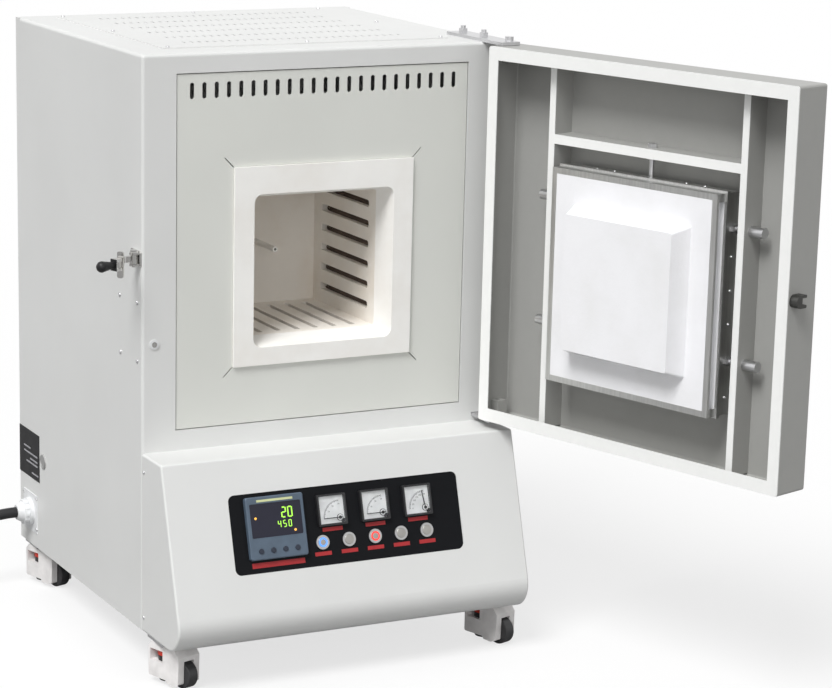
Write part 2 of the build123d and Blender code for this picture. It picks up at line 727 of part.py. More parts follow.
def door_shell():
    outer = block(DOOR_X0, HALF_W, DOOR_OUT, DOOR_IN, DOOR_BOTTOM, DOOR_TOP)
    edges = outer.edges().group_by(Axis.Y)[0]
    edges = edges + outer.edges().filter_by(Axis.Y)
    outer = fillet(edges, DOOR_EDGE_R)
    t = DOOR_SHEET
    inner = block(DOOR_X0 + t, HALF_W - t, DOOR_OUT + t, DOOR_IN - t, DOOR_BOTTOM + t, DOOR_TOP - t)
    edges = inner.edges().group_by(Axis.Y)[0] + inner.edges().filter_by(Axis.Y)
    inner = fillet(edges, DOOR_EDGE_R - t)
    shell = outer - inner
    side = DOOR_FLANGE_SIDE
    end = DOOR_FLANGE_END
    shell -= block(DOOR_X0 + side, HALF_W - side, DOOR_IN - t - 1, DOOR_IN + 1, DOOR_BOTTOM + end, DOOR_TOP - end)
    for z, way in ((DOOR_TOP, -1), (DOOR_BOTTOM, 1)):
        z0 = z + way * t
        z1 = z0 + way * PIVOT_BUSH_H
        x0 = HALF_W - t
        bush = block(x0, x0 - PIVOT_BUSH_W, PIVOT_Y - PIVOT_BUSH_D / 2, PIVOT_Y + PIVOT_BUSH_D / 2, z0, z1)
        shell += bush
        bore = PIVOT_D + 2 * PIVOT_SLACK
        shell -= rod(bore, (PIVOT_X, PIVOT_Y, z - way), (PIVOT_X, PIVOT_Y, z1 + way))
    return shell


def channel(x0, x1, z0, z1, along):
    """Folded channel whose web faces the cabinet and whose flanges reach the door skin."""
    face = DOOR_IN - MEMBER_DEEP
    back = DOOR_OUT + DOOR_SHEET
    t = DOOR_SHEET
    body = block(x0, x1, back, face, z0, z1)
    if along == "z":
        return body - block(x0 + t, x1 - t, back, face - t, z0, z1)
    return body - block(x0, x1, back, face - t, z0 + t, z1 - t)


def door_frame():
    low = DOOR_BOTTOM + DOOR_EDGE_R
    high = DOOR_TOP - DOOR_EDGE_R
    half = MEMBER_HALF_SPAN
    w = MEMBER_W / 2
    frame = channel(-half - w, -half + w, low, high, "z")
    frame += channel(half - w, half + w, low, high, "z")
    frame += channel(-half + w, half - w, CROSS_TOP - CROSS_H, CROSS_TOP, "x")
    hole = HANGER_D + 2 * HANGER_SLACK
    y = DOOR_IN - HANGER_DEEP
    for z in hanger_levels():
        for side in (-1, 1):
            x = side * half
            frame -= rod(hole, (x - MEMBER_W, y, z), (x + MEMBER_W, y, z))
    frame -= rod(hole, (0, y, CROSS_TOP - CROSS_H - 1), (0, y, CROSS_TOP + 1))
    return frame


def hanger_levels():
    return (PLUG_Z + HANGER_UP, PLUG_Z - HANGER_DOWN)


def plug_casing():
    """Stainless box round the door's insulation, slotted along both sides."""
    t = DOOR_SHEET
    hw = PLUG_W / 2
    hh = PLUG_H / 2
    face = PLUG_FACE
    back = face - PLUG_FRONT_D - PLUG_REAR_D
    body = block(-hw, hw, back, face, PLUG_Z - hh, PLUG_Z + hh)
    lip = face - PLUG_FRONT_D
    grow = PLUG_LIP
    body += block(-hw - grow, hw + grow, lip, lip + PLUG_LIP_D, PLUG_Z - hh - grow, PLUG_Z + hh + grow)
    body -= block(-hw + t, hw - t, back + t, face - t, PLUG_Z - hh + t, PLUG_Z + hh - t)
    rim = PLUG_RIM
    body -= block(-hw + rim, hw - rim, face - t - 1, face + 1, PLUG_Z - hh + rim, PLUG_Z + hh - rim)
    slot_y1 = face - 3 * t
    slot_z = hh - PLUG_SLOT_END
    for side in (-1, 1):
        x = side * hw
        body -= block(x - side * 2 * t, x + side, slot_y1 - PLUG_SLOT_D, slot_y1, PLUG_Z - slot_z, PLUG_Z + slot_z)
    return body


def plug_board():
    """Ceramic fibre board with the raised block that enters the mouth."""
    t = DOOR_SHEET
    hw = PLUG_W / 2 - PLUG_RIM
    hh = PLUG_H / 2 - PLUG_RIM
    face = PLUG_FACE
    mid = face - BOARD_FACE_T
    back = face - PLUG_FRONT_D - PLUG_REAR_D + t
    board = block(-hw, hw, mid, face, PLUG_Z - hh, PLUG_Z + hh)
    board += block(-PLUG_W / 2 + t, PLUG_W / 2 - t, back, mid, PLUG_Z - PLUG_H / 2 + t, PLUG_Z + PLUG_H / 2 - t)
    base = Plane(origin=(0, face, PLUG_Z), x_dir=(1, 0, 0), z_dir=(0, 1, 0))
    top = Plane(origin=(0, face + FRUSTUM_H, PLUG_Z), x_dir=(1, 0, 0), z_dir=(0, 1, 0))
    big = RectangleRounded(FRUSTUM_BASE, FRUSTUM_BASE, 5)
    small = RectangleRounded(FRUSTUM_TOP, FRUSTUM_TOP, 3)
    return board + loft([base * big, top * small])


def plug_hangers():
    """Four side studs with their sleeves and the top stud with its nut."""
    y = DOOR_IN - HANGER_DEEP
    pieces = []
    plug_side = PLUG_W / 2
    member = MEMBER_HALF_SPAN + MEMBER_W / 2
    for z in hanger_levels():
        for side in (-1, 1):
            stud = rod(HANGER_D, (side * plug_side, y, z), (side * member, y, z))
            sleeve = rod(HANGER_HEAD_D, (side * member, y, z), (side * (member + HANGER_HEAD_L), y, z))
            nut = hexagon(NUT_AF, NUT_H, (side * plug_side, y, z), (side, 0, 0))
            pieces.append(stud + sleeve + nut)
    top = PLUG_Z + PLUG_H / 2
    stud = rod(HANGER_D, (0, y, top), (0, y, CROSS_TOP))
    stud += hexagon(NUT_AF, NUT_H, (0, y, CROSS_TOP))
    stud += rod(NUT_AF + 3, (0, y, CROSS_TOP - CROSS_H - 3), (0, y, CROSS_TOP - CROSS_H))
    pieces.append(stud)
    return pieces


def catch_claw():
    """Forked catch on the door's free edge, its slot open to the outside."""
    x0 = DOOR_X0
    y0 = DOOR_IN - CATCH_V0
    half = CATCH_H / 2
    body = block(x0 - CATCH_OUT, x0, y0 - CATCH_L, y0, LATCH_Z - half, LATCH_Z + half)
    body = fillet(body.edges().filter_by(Axis.X).group_by(Axis.Y)[-1], half * 0.9)
    body = fillet(body.edges().filter_by(Axis.X).group_by(Axis.Y)[0], 1.2)
    gap = CATCH_SLOT / 2
    return body - block(x0 - CATCH_OUT - 1, x0 + 1, y0 - CATCH_L - 1, y0 - CATCH_FLOOR, LATCH_Z - gap, LATCH_Z + gap)


# Latch

def latch_place(shape):
    """From a frame with the arm along +X at the pivot to the arm's place at rest."""
    return Pos(LATCH_X, LATCH_Y, LATCH_Z) * Rot(0, 0, 180 + LATCH_REST) * shape


def cam_x():
    """Distance from the arm's pivot to the lever's pin."""
    return ARM_REACH + BAR_T + CAM_GAP + CAM_D / 2


def latch_bracket():
    """Plate on the cabinet side with two ears round the arm's eye, its pin and nut."""
    wall = -HALF_W
    half = LATCH_PLATE_H / 2
    y0 = LATCH_Y - LATCH_PLATE_FRONT
    body = block(wall - LATCH_PLATE_T, wall, y0, y0 + LATCH_PLATE_W, LATCH_Z - half, LATCH_Z + half)
    body = fillet(body.edges().filter_by(Axis.X), 3)
    gap = EYE_H / 2 + EYE_GAP
    for way in (-1, 1):
        z0 = LATCH_Z + way * gap
        z1 = z0 + way * EAR_T
        body += block(LATCH_X, wall, LATCH_Y - EAR_R, LATCH_Y + EAR_R, z0, z1)
        body += rod(2 * EAR_R, (LATCH_X, LATCH_Y, z0), (LATCH_X, LATCH_Y, z1))
    reach = gap + EAR_T
    body += rod(LATCH_PIN_D, (LATCH_X, LATCH_Y, LATCH_Z - reach - 2), (LATCH_X, LATCH_Y, LATCH_Z + reach))
    body += hexagon(9, 3.5, (LATCH_X, LATCH_Y, LATCH_Z + reach))
    return body


def latch_arm():
    """Bowed arm that carries a tall cross bar and ends in the lever's eye."""
    low = -ARM_H / 2
    eye = rod(2 * EAR_R - 1, (0, 0, -EYE_H / 2), (0, 0, EYE_H / 2))
    bow = trace(ThreePointArc((0, 0), (ARM_REACH / 2, -ARM_BOW), (ARM_REACH, 0)), ARM_W)
    arm = eye + Pos(0, 0, low) * extrude(bow, ARM_H)
    arm += block(ARM_REACH - ARM_W / 2, cam_x(), -ARM_W / 2, ARM_W / 2, low, -low)
    bar = block(ARM_REACH, ARM_REACH + BAR_T, -BAR_W / 2, BAR_W / 2, -BAR_DOWN, BAR_UP)
    arm += fillet(bar.edges().filter_by(Axis.X), 3)
    arm += rod(ARM_EYE_D, (cam_x(), 0, low), (cam_x(), 0, -low))
    arm -= rod(LATCH_PIN_D + 2 * PIVOT_SLACK, (0, 0, -EYE_H), (0, 0, EYE_H))
    arm -= rod(CAM_PIN_D + 2 * PIVOT_SLACK, (cam_x(), 0, -EYE_H), (cam_x(), 0, EYE_H))
    return latch_place(arm)


def latch_lever():
    """Yoke round the arm's end eye, with its pin, and the tapered grip moulded on."""
    z0 = ARM_H / 2 + EYE_GAP
    lever = rod(CAM_PIN_D, (0, 0, -z0 - CAM_T), (0, 0, z0 + CAM_T))
    half = CAM_D / 2
    for way in (-1, 1):
        low = way * z0
        high = way * (z0 + CAM_T)
        lever += rod(CAM_D, (0, 0, low), (0, 0, high))
        lever += block(0, GRIP_START, -half, half, low, high)
    top = z0 + CAM_T
    lever += block(GRIP_START - 1.5, GRIP_START, -half, half, -top, top)
    thin = GRIP_THIN / 2
    thick = GRIP_THICK / 2
    start = GRIP_START
    tip = start + GRIP_L
    outline = [Line((start, 0), (start, thin)), Line((start, thin), (tip - thick, thick))]
    outline += [RadiusArc((tip - thick, thick), (tip, 0), thick, short_sagitta=True), Line((tip, 0), (start, 0))]
    grip = revolve(make_face(Wire(outline)), Axis.X)
    return latch_place(Pos(cam_x(), 0, 0) * Rot(0, 0, LEVER_TURN) * (lever + grip))


# Door switch

def switch_plunger():
    axis_x = -SWITCH_X
    tip = -SWITCH_PROUD
    return rod(SWITCH_D, (axis_x, tip, SWITCH_Z), (axis_x, SWITCH_STEM, SWITCH_Z))


def switch_body():
    axis_x = -SWITCH_X
    body = rod(SWITCH_BODY_D, (axis_x, 0, SWITCH_Z), (axis_x, SWITCH_BODY_L, SWITCH_Z))
    body += rod(SWITCH_NUT_D, (axis_x, -SWITCH_NUT_T, SWITCH_Z), (axis_x, 0, SWITCH_Z))
    deep = SWITCH_STEM + SWITCH_TRAVEL + 1
    return body - rod(SWITCH_D + 2 * HOLE_SLACK, (axis_x, -SWITCH_NUT_T - 1, SWITCH_Z), (axis_x, deep, SWITCH_Z))


def power_gear():
    """Transformer, finned thyristor, contactor and terminal strip on the base, and the door switch."""
    z = CAB_BOTTOM + BASE_SHEET
    transformer = block(30, 150, 230, 350, z, z + 120) + block(45, 135, 210, 370, z, z + 100)
    sink = block(-150, -30, 220, 330, z, z + 16)
    for i in range(6):
        x = -150 + 4 + i * 22
        sink += block(x, x + 3, 220, 330, z + 16, z + 60)
    contactor = block(-60, 0, 420, 490, z, z + 85) + block(-55, -5, 425, 485, z + 85, z + 95)
    strip = block(60, 200, 440, 475, z, z + 30)
    return [transformer, sink, contactor, strip, switch_body()]


# Instruments

def panel_face():
    """Front face level of the instrument plate, measured out from the slope."""
    return -SHEET


def button_places():
    return [BUTTON_X0 + i * BUTTON_PITCH for i in range(BUTTON_COUNT)]


def instrument_panel():
    """Black plate behind the console window, and the metal rings of its five buttons."""
    middle = (WINDOW_S0 + WINDOW_S1) / 2
    width = WINDOW_W + 2 * PLATE_LAP
    height = WINDOW_S1 - WINDOW_S0 + 2 * PLATE_LAP
    face = panel_face()
    plate = on_slope(WINDOW_X, middle, face - PLATE_T, extrude(Rectangle(width, height), PLATE_T))
    cut = 3 * PLATE_T
    body = CTRL_BODY_W + 2 * HOLE_SLACK
    plate -= on_slope(CTRL_X, CTRL_S, face - 2 * PLATE_T, extrude(Rectangle(body, body), cut))
    for x in METER_X:
        hole = METER_BODY_D / 2 + HOLE_SLACK
        plate -= on_slope(x, METER_S, face - 2 * PLATE_T, extrude(Circle(hole), cut))
    rings = []
    for x in button_places():
        hole = BUTTON_BODY_D / 2
        plate -= on_slope(x, BUTTON_S, face - 2 * PLATE_T, extrude(Circle(hole), cut))
        ring = extrude(Circle(BUTTON_RING_D / 2), BUTTON_RING_H)
        ring += Pos(0, 0, -BUTTON_BODY_L) * extrude(Circle(BUTTON_BODY_D / 2), BUTTON_BODY_L)
        bore = BUTTON_D / 2 + BUTTON_SLACK
        deep = BUTTON_L - BUTTON_PROUD + BUTTON_TRAVEL + 1
        ring -= Pos(0, 0, -deep) * extrude(Circle(bore), deep + BUTTON_RING_H + 1)
        rings.append(on_slope(x, BUTTON_S, face, ring))
    return [plate] + rings


def push_button(x):
    stem = extrude(Circle(BUTTON_D / 2), BUTTON_L)
    stem = fillet(stem.edges().group_by(Axis.Z)[-1], 0.8)
    return on_slope(x, BUTTON_S, panel_face() + BUTTON_PROUD - BUTTON_L, stem)


def key_places():
    return [CTRL_X + (i - (KEY_COUNT - 1) / 2) * KEY_PITCH for i in range(KEY_COUNT)]


def temperature_controller():
    face = panel_face()
    bezel = extrude(RectangleRounded(CTRL_W, CTRL_W, 4), CTRL_BEZEL)
    bezel = chamfer(bezel.edges().group_by(Axis.Z)[-1], 1.5)
    case = Pos(0, 0, -CTRL_BODY_D) * extrude(Rectangle(CTRL_BODY_W, CTRL_BODY_W), CTRL_BODY_D)
    body = on_slope(CTRL_X, CTRL_S, face, bezel + case)
    screen = extrude(RectangleRounded(CTRL_SCREEN_W, CTRL_SCREEN_H, 2), CTRL_SCREEN_DEEP + 1)
    top = face + CTRL_BEZEL
    body -= on_slope(CTRL_X, CTRL_SCREEN_S, top - CTRL_SCREEN_DEEP, screen)
    for x in key_places():
        bore = extrude(Circle(KEY_D / 2 + HOLE_SLACK), KEY_DEEP + KEY_TRAVEL + 2)
        body -= on_slope(x, KEY_S, top - KEY_DEEP - KEY_TRAVEL - 0.2, bore)
    return body


def controller_key(x):
    stem = extrude(Circle(KEY_D / 2), KEY_DEEP + KEY_PROUD)
    stem = fillet(stem.edges().group_by(Axis.Z)[-1], 0.6)
    return on_slope(x, KEY_S, panel_face() + CTRL_BEZEL - KEY_DEEP, stem)


def meter_case(x):
    bezel = extrude(RectangleRounded(METER_W, METER_W, 2), METER_BEZEL)
    well = METER_W - 2 * METER_RIM
    bezel -= Pos(0, 0, METER_BEZEL - METER_DEEP) * extrude(Rectangle(well, well), METER_DEEP + 1)
    case = Pos(0, 0, -METER_BODY_L) * extrude(Circle(METER_BODY_D / 2), METER_BODY_L)
    return on_slope(x, METER_S, panel_face(), bezel + case)


def meter_pointer(x, shown):
    """Needle on its hub, turned from the left-hand rest towards full scale."""
    floor = METER_BEZEL - METER_DEEP
    hub = extrude(Circle(POINTER_HUB_D / 2), METER_DEEP * 0.6)
    needle = Box(POINTER_L, POINTER_W, POINTER_T, align=(Align.MAX, Align.CENTER, Align.MIN))
    tail = Box(POINTER_HUB_D, POINTER_W, POINTER_T, align=(Align.MIN, Align.CENTER, Align.MIN))
    pointer = hub + Pos(0, 0, 1.2) * needle + Pos(0, 0, 1.2) * tail
    turned = Rot(0, 0, -shown) * pointer
    return on_slope(x + POINTER_PIVOT, METER_S + POINTER_PIVOT, panel_face() + floor + POINTER_GAP, turned)


# Casters

MOUNT_LOW = CAB_BOTTOM - MOUNT_T
HOUSING_TOP = MOUNT_LOW - HOUSING_GAP
HOUSING_ROOF = HOUSING_TOP - HOUSING_TOP_T
WINDOW_LOW = HOUSING_ROOF - WINDOW_H
FOOT_CEILING = FOOT_UP + FOOT_H + FOOT_CLEAR


def caster_places():
    front = CASTER_FRONT_Y
    rear = CASTER_REAR_Y
    return {"front_left": (-CASTER_X, front), "front_right": (CASTER_X, front),
            "rear_left": (-CASTER_X, rear), "rear_right": (CASTER_X, rear)}


def caster_housing():
    """Cast fork with the window for the adjusting ring, in its own upright frame."""
    lobe = WHEEL_OFFSET
    side = Polyline((0, HOUSING_BACK, FOOT_CEILING - 4), (0, HOUSING_BACK, HOUSING_TOP - 8),
                    (0, HOUSING_BACK - 8, HOUSING_TOP), (0, -lobe + 2, HOUSING_TOP),
                    (0, -lobe - 10, HOUSING_TOP - 14), (0, -lobe - 9, WHEEL_R - 12), (0, -lobe + 2, 5),
                    (0, -FOOT_D / 2 - 3, 6), (0, -FOOT_D / 2 - 1, FOOT_CEILING - 4), close=True)
    body = extrude(make_face(side), HOUSING_W / 2, dir=(1, 0, 0), both=True)
    body = fillet(body.edges().filter_by(Axis.X), 3)
    half = WHEEL_W / 2 + WHEEL_SIDE_GAP
    clear = WHEEL_R + 2
    slot = rod(2 * clear, (-half, -lobe, WHEEL_R), (half, -lobe, WHEEL_R))
    slot += block(-half, half, -lobe - 2 * clear, -lobe, 0, WHEEL_R + clear)
    slot += block(-half, half, -lobe - clear, -lobe + clear, -1, WHEEL_R)
    body -= slot & block(-half, half, -lobe - 40, -lobe + clear, -1, HOUSING_TOP + 1)
    body -= rod(FOOT_D + 2 * FOOT_CLEAR, (0, 0, -1), (0, 0, FOOT_CEILING))
    front = -RING_D / 2 - 1.5
    body -= block(-HOUSING_W, HOUSING_W, front, HOUSING_BACK - 4, WINDOW_LOW, HOUSING_ROOF)
    body += block(-HOUSING_W / 2, HOUSING_W / 2, front, -9, WINDOW_LOW, HOUSING_ROOF) - ring_room()
    body -= rod(STEM_D + 2, (0, 0, 0), (0, 0, WINDOW_LOW + 1))
    body -= rod(KINGPIN_D + 2 * PIVOT_SLACK, (0, 0, HOUSING_ROOF - 1), (0, 0, HOUSING_TOP + 1))
    body += rod(AXLE_D, (-HOUSING_W / 2, -lobe, WHEEL_R), (HOUSING_W / 2, -lobe, WHEEL_R))
    return body


def ring_room():
    return rod(RING_D + 2, (0, 0, WINDOW_LOW - 1), (0, 0, HOUSING_ROOF + 1))


def caster_wheel():
    half = WHEEL_W / 2
    y = -WHEEL_OFFSET
    wheel = rod(2 * WHEEL_R, (-half, y, WHEEL_R), (half, y, WHEEL_R))
    wheel = fillet(wheel.edges().filter_by(GeomType.CIRCLE), 2)
    wheel -= rod(AXLE_D + 2 * WHEEL_BORE_SLACK, (-half - 1, y, WHEEL_R), (half + 1, y, WHEEL_R))
    return wheel


def caster_adjuster():
    """Ring turned by hand to wind the foot down."""
    low = WINDOW_LOW + RING_GAP
    high = HOUSING_ROOF - RING_GAP
    mid = (low + high) / 2
    ring = rod(RING_D, (0, 0, mid), (0, 0, high)) + rod(RING_D - 1.6, (0, 0, low), (0, 0, mid))
    return ring - rod(STEM_D + 2 * STEM_SLACK, (0, 0, low - 1), (0, 0, high + 1))


def caster_foot():
    pad = rod(FOOT_D, (0, 0, FOOT_UP), (0, 0, FOOT_UP + FOOT_H))
    pad = fillet(pad.edges().group_by(Axis.Z)[0], 1.5)
    return pad + rod(STEM_D, (0, 0, FOOT_UP), (0, 0, HOUSING_ROOF - 1))


# Gland, cord, coil and plug

GLAND_END = -HALF_W - GLAND_PLATE_T - GLAND_FLANGE - GLAND_BODY - GLAND_DOME


def cord_gland():
    wall = -HALF_W
    face = wall - GLAND_PLATE_T
    y0 = GLAND_Y - GLAND_PLATE_W / 2
    z0 = GLAND_Z - GLAND_PLATE_H / 2
    plate = block(face, wall, y0, y0 + GLAND_PLATE_W, z0, z0 + GLAND_PLATE_H)
    x1 = face - GLAND_FLANGE
    x2 = x1 - GLAND_BODY
    gland = rod(GLAND_D, (face, GLAND_Y, GLAND_Z), (x1, GLAND_Y, GLAND_Z))
    gland += hexagon(GLAND_BODY_D * 0.96, GLAND_BODY, (x1, GLAND_Y, GLAND_Z), (-1, 0, 0))
    end = Plane(origin=(x2, GLAND_Y, GLAND_Z), z_dir=(-1, 0, 0))
    gland += extrude(end * Circle(GLAND_BODY_D / 2 * 0.95), GLAND_DOME,
                     taper=math.degrees(math.atan((GLAND_BODY_D * 0.95 - GLAND_DOME_D) / 2 / GLAND_DOME)))
    return [plate, gland]


# The route is kept as chosen points, from the gland down to the floor and into the coil
COIL_CENTRE = (-673.5, 408.0)
CORD_ROUTE = [(GLAND_END, GLAND_Y, GLAND_Z), (-363.0, GLAND_Y, GLAND_Z), (-402.0, 505.5, 113.1),
              (-435.4, 506.5, 83.0), (-464.4, 507.5, 48.6), (-500.0, 508.5, 26.3),
              (-540.7, 509.0, 15.0), (-580.5, 508.5, CORD_D / 2),
              (COIL_CENTRE[0] + COIL_STUB, COIL_CENTRE[1] + COIL_R, CORD_D / 2)]


def cord_radii():
    """Radius of each bend: nine twentieths of the shorter run over the tangent of half the turn."""
    points = [Vector(*p) for p in CORD_ROUTE]
    radii = []
    for before, at, after in zip(points, points[1:], points[2:]):
        turn = (at - before).get_angle(after - at)
        short = min((at - before).length, (after - at).length)
        radii.append(0.45 * short / math.tan(math.radians(turn / 2)))
    return radii


def power_cord():
    radii = cord_radii()
    path = FilletPolyline(*CORD_ROUTE, radius=radii)
    tube = sweep(Plane(origin=path @ 0, z_dir=path % 0) * Circle(CORD_D / 2), path=path)
    print("cord bend radii", [round(r, 1) for r in radii])
    print("cord run", round(path.length, 1), "volume ratio",
          round(tube.volume / (math.pi * (CORD_D / 2) ** 2 * path.length), 5))
    return tube


def plug_start():
    """Where the cord meets its plug, and the way it comes down to it off the coil."""
    top = Vector(COIL_CENTRE[0], COIL_CENTRE[1] - COIL_R, (COIL_LAYERS - 0.5) * CORD_D)
    end = Vector(COIL_CENTRE[0] + PLUG_RUN, COIL_CENTRE[1] - COIL_R, PLUG_BODY_D / 2)
    return top, end


def cord_coil():
    cx, cy = COIL_CENTRE
    outer = COIL_R + CORD_D / 2 + COIL_SWELL
    inner = COIL_R - CORD_D / 2 - COIL_SWELL
    height = COIL_LAYERS * CORD_D - 2 * COIL_LIFT
    ring = extrude(Circle(outer), height) - extrude(Circle(inner), height)
    ring = Pos(cx, cy, COIL_LIFT) * chamfer(ring.edges().filter_by(GeomType.CIRCLE), CORD_D / 4)
    z = CORD_ROUTE[-1][2]
    ring += rod(CORD_D, (cx, cy + COIL_R, z), (cx + COIL_STUB, cy + COIL_R, z))
    top, end = plug_start()
    return ring + rod(CORD_D, top, end)


def mains_plug():
    top, end = plug_start()
    z = PLUG_BODY_D / 2
    x1 = end.X + PLUG_NECK_L
    x2 = x1 + PLUG_BODY_L
    neck = loft([Plane(origin=end, z_dir=(end - top).normalized()) * Circle(CORD_D / 2),
                 Plane(origin=(x1, end.Y, z), z_dir=(1, 0, 0)) * Circle(PLUG_NECK_D / 2)])
    body = rod(PLUG_BODY_D, (x1, end.Y, z), (x2, end.Y, z))
    plug = neck + fillet(body.edges().group_by(Axis.X)[0], 5)
    for dy, dz in ((-PLUG_BLADE_SPREAD, 0), (PLUG_BLADE_SPREAD, 0), (0, PLUG_BLADE_SPREAD)):
        plug += rod(PLUG_BLADE_D, (x2 - 1, end.Y + dy, z + dz), (x2 + PLUG_BLADE, end.Y + dy, z + dz))
    return plug


def build_all():
    keep("cabinet_casing", cabinet_casing())
    keep("base_plate", base_plate())
    keep("console_cover", console_cover())
    keep("rear_panel", rear_panel())
    keep("top_vent_cover", top_vent_cover())
    keep("front_panel", front_panel())
    keep("mouth_ring_upper", mouth_ring(MOUTH_SEAM, MOUTH_TOP))
    keep("mouth_ring_lower", mouth_ring(MOUTH_BOTTOM, MOUTH_SEAM))
    keep("chamber_boards", *chamber_boards())
    keep("chamber_hood", chamber_hood())
    keep("furnace_liner", furnace_liner())
    keep("heating_elements", *heating_elements())
    keep("thermocouple", thermocouple())
    keep("hinge_plates", *hinge_set())
    keep("door_shell", door_open(door_shell()))
    keep("door_frame", door_open(door_frame()))
    keep("plug_casing", door_open(plug_casing()))
    keep("plug_board", door_open(plug_board()))
    keep("plug_hangers", *[door_open(piece) for piece in plug_hangers()])
    keep("catch_claw", door_open(catch_claw()))
    keep("latch_bracket", latch_bracket())
    keep("latch_arm", latch_arm())
    keep("latch_lever", latch_lever())
    keep("door_switch_plunger", switch_plunger())
    keep("power_gear", *power_gear())
    keep("instrument_panel", *instrument_panel())
    keep("temperature_controller", temperature_controller())
    for number, x in enumerate(key_places(), 1):
        keep(f"controller_key_{number}", controller_key(x))
    keep("meter_cases", *[meter_case(x) for x in METER_X])
    for number, (x, shown) in enumerate(zip(METER_X, METER_SHOWN), 1):
        keep(f"meter_pointer_{number}", meter_pointer(x, shown))
    for number, x in enumerate(button_places(), 1):
        keep(f"push_button_{number}", push_button(x))
    for where, (x, y) in caster_places().items():
        place = Pos(x, y, 0) * Rot(0, 0, CASTER_TURN)
        keep(f"caster_housing_{where}", place * caster_housing())
        keep(f"caster_wheel_{where}", place * caster_wheel())
        keep(f"caster_adjuster_{where}", place * caster_adjuster())
        keep(f"caster_foot_{where}", place * caster_foot())
    keep("cord_gland", *cord_gland())
    keep("power_cord", power_cord())
    keep("cord_coil", cord_coil())
    keep("mains_plug", mains_plug())


def write_all():
    """Move everything to the centre of the footprint and write one file for each node."""
    loose = ("power_cord", "cord_coil", "mains_plug")
    fixed = [s for name, solids in nodes.items() if name not in loose for s in solids]
    box = Compound(children=[copy_of(s) for s in fixed]).bounding_box()
    shift = Pos(-(box.min.X + box.max.X) / 2, -(box.min.Y + box.max.Y) / 2, 0)
    print("shift", shift.position.X, shift.position.Y, "box", box)
    os.makedirs("parts", exist_ok=True)
    for name, solids in nodes.items():
        placed = [shift * s for s in solids]
        shape = placed[0] if len(placed) == 1 else Compound(children=placed)
        export_step(shape, f"parts/{name}.step")


def copy_of(shape):
    return Pos(0, 0, 0) * shape


build_all()
write_all()
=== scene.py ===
import json
import math

import bmesh
import bpy
from mathutils import Matrix, Vector


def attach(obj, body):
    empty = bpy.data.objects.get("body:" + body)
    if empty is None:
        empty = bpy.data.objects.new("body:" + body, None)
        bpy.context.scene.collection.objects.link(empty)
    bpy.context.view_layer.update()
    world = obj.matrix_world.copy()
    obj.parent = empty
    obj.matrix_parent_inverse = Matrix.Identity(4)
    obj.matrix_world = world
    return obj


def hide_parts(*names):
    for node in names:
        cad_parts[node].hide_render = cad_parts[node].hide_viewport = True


# Looks of the laboratory muffle furnace. Sizes are the CAD's own millimetres until P() turns
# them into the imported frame's metres.

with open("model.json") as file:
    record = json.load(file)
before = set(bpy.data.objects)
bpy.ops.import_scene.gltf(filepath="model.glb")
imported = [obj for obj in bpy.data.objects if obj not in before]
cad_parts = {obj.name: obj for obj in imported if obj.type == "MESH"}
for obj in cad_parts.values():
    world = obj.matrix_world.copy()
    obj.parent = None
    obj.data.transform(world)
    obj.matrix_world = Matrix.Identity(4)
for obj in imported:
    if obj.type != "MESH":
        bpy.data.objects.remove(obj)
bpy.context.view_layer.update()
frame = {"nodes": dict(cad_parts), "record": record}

# The CAD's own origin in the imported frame, from the mount that marks the chamber's floor

MOUNTS = {m["name"]: Vector(m["pos_m"]) for m in frame["record"]["mounts"]}
CHAMBER_MARK = Vector((0.0, 162.4, 511.8))
SHIFT = MOUNTS["chamber_floor"] - CHAMBER_MARK / 1000

# Driving dimensions of the cabinet, the console and the door, as in the CAD

HALF_W = 300.0
CAB_D = 560.0
CAB_TOP = 956.0
COVER_T = 1.5
HINGE_T = 5.0
SLOPE_ANGLE = math.radians(17.13)
LEDGE_D = 75.0
LEDGE_Z = 351.0
DOOR_OPEN = math.radians(107.3)
DOOR_GAP = 3.0
MEMBER_FACE = -28.0
PIVOT = Vector((293.1, -39.5, 0.0))
PLUG_Z = 620.3
PLUG_W = 321.0
PLUG_H = 331.0

# Instruments: across, then down the slope from the ledge

PANEL_FACE = -1.5
PANEL_MIDDLE = 100.0
CONTROLLER = (-125.0, 110.0)
CONTROLLER_PROUD = 9.0
METERS = (-29.4, 44.0, 117.8)
METER_S = 94.0
BUTTON_X0 = -49.1
BUTTON_PITCH = 44.8
BUTTON_COUNT = 5
BUTTONS = [BUTTON_X0 + BUTTON_PITCH * i for i in range(BUTTON_COUNT)]
BUTTON_S = 142.2
BUTTON_PROUD = 3.4

# Latch, casters, gland and cord

LATCH_OUT = 9.5
LATCH_Y = 10.0
LATCH_Z = 651.0
ARM_TURN = 220.0
LEVER_TURN = -21.0
CAM_REACH = 50.0
CAM_R = 7.2
ADJUSTER_MIDDLE = 45.0
GLAND_Y = 505.0
GLAND_Z = 127.5
GLAND_PLATE_T = 1.5
GLAND_FLANGE = 7.0
GLAND_BODY = 8.0
GLAND_DOME = 10.0
CORD_D = 18.0
COIL_R = 100.0
PLUG_RUN = 125.0
PLUG_NECK_L = 26.0
PLUG_BODY_L = 51.0


def P(x, y, z):
    """A place given in the CAD's millimetres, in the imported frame's metres."""
    return Vector((x, y, z)) / 1000 + SHIFT


def place(x, y, z, turn=None):
    """Matrix that puts a piece drawn in metres at a place, with its own turn."""
    base = Matrix.Translation(P(x, y, z))
    return base if turn is None else base @ turn


def moved(matrix, x, y, z=0.0):
    """The matrix carried on by millimetres along its own axes."""
    return matrix @ Matrix.Translation((x / 1000, y / 1000, z / 1000))


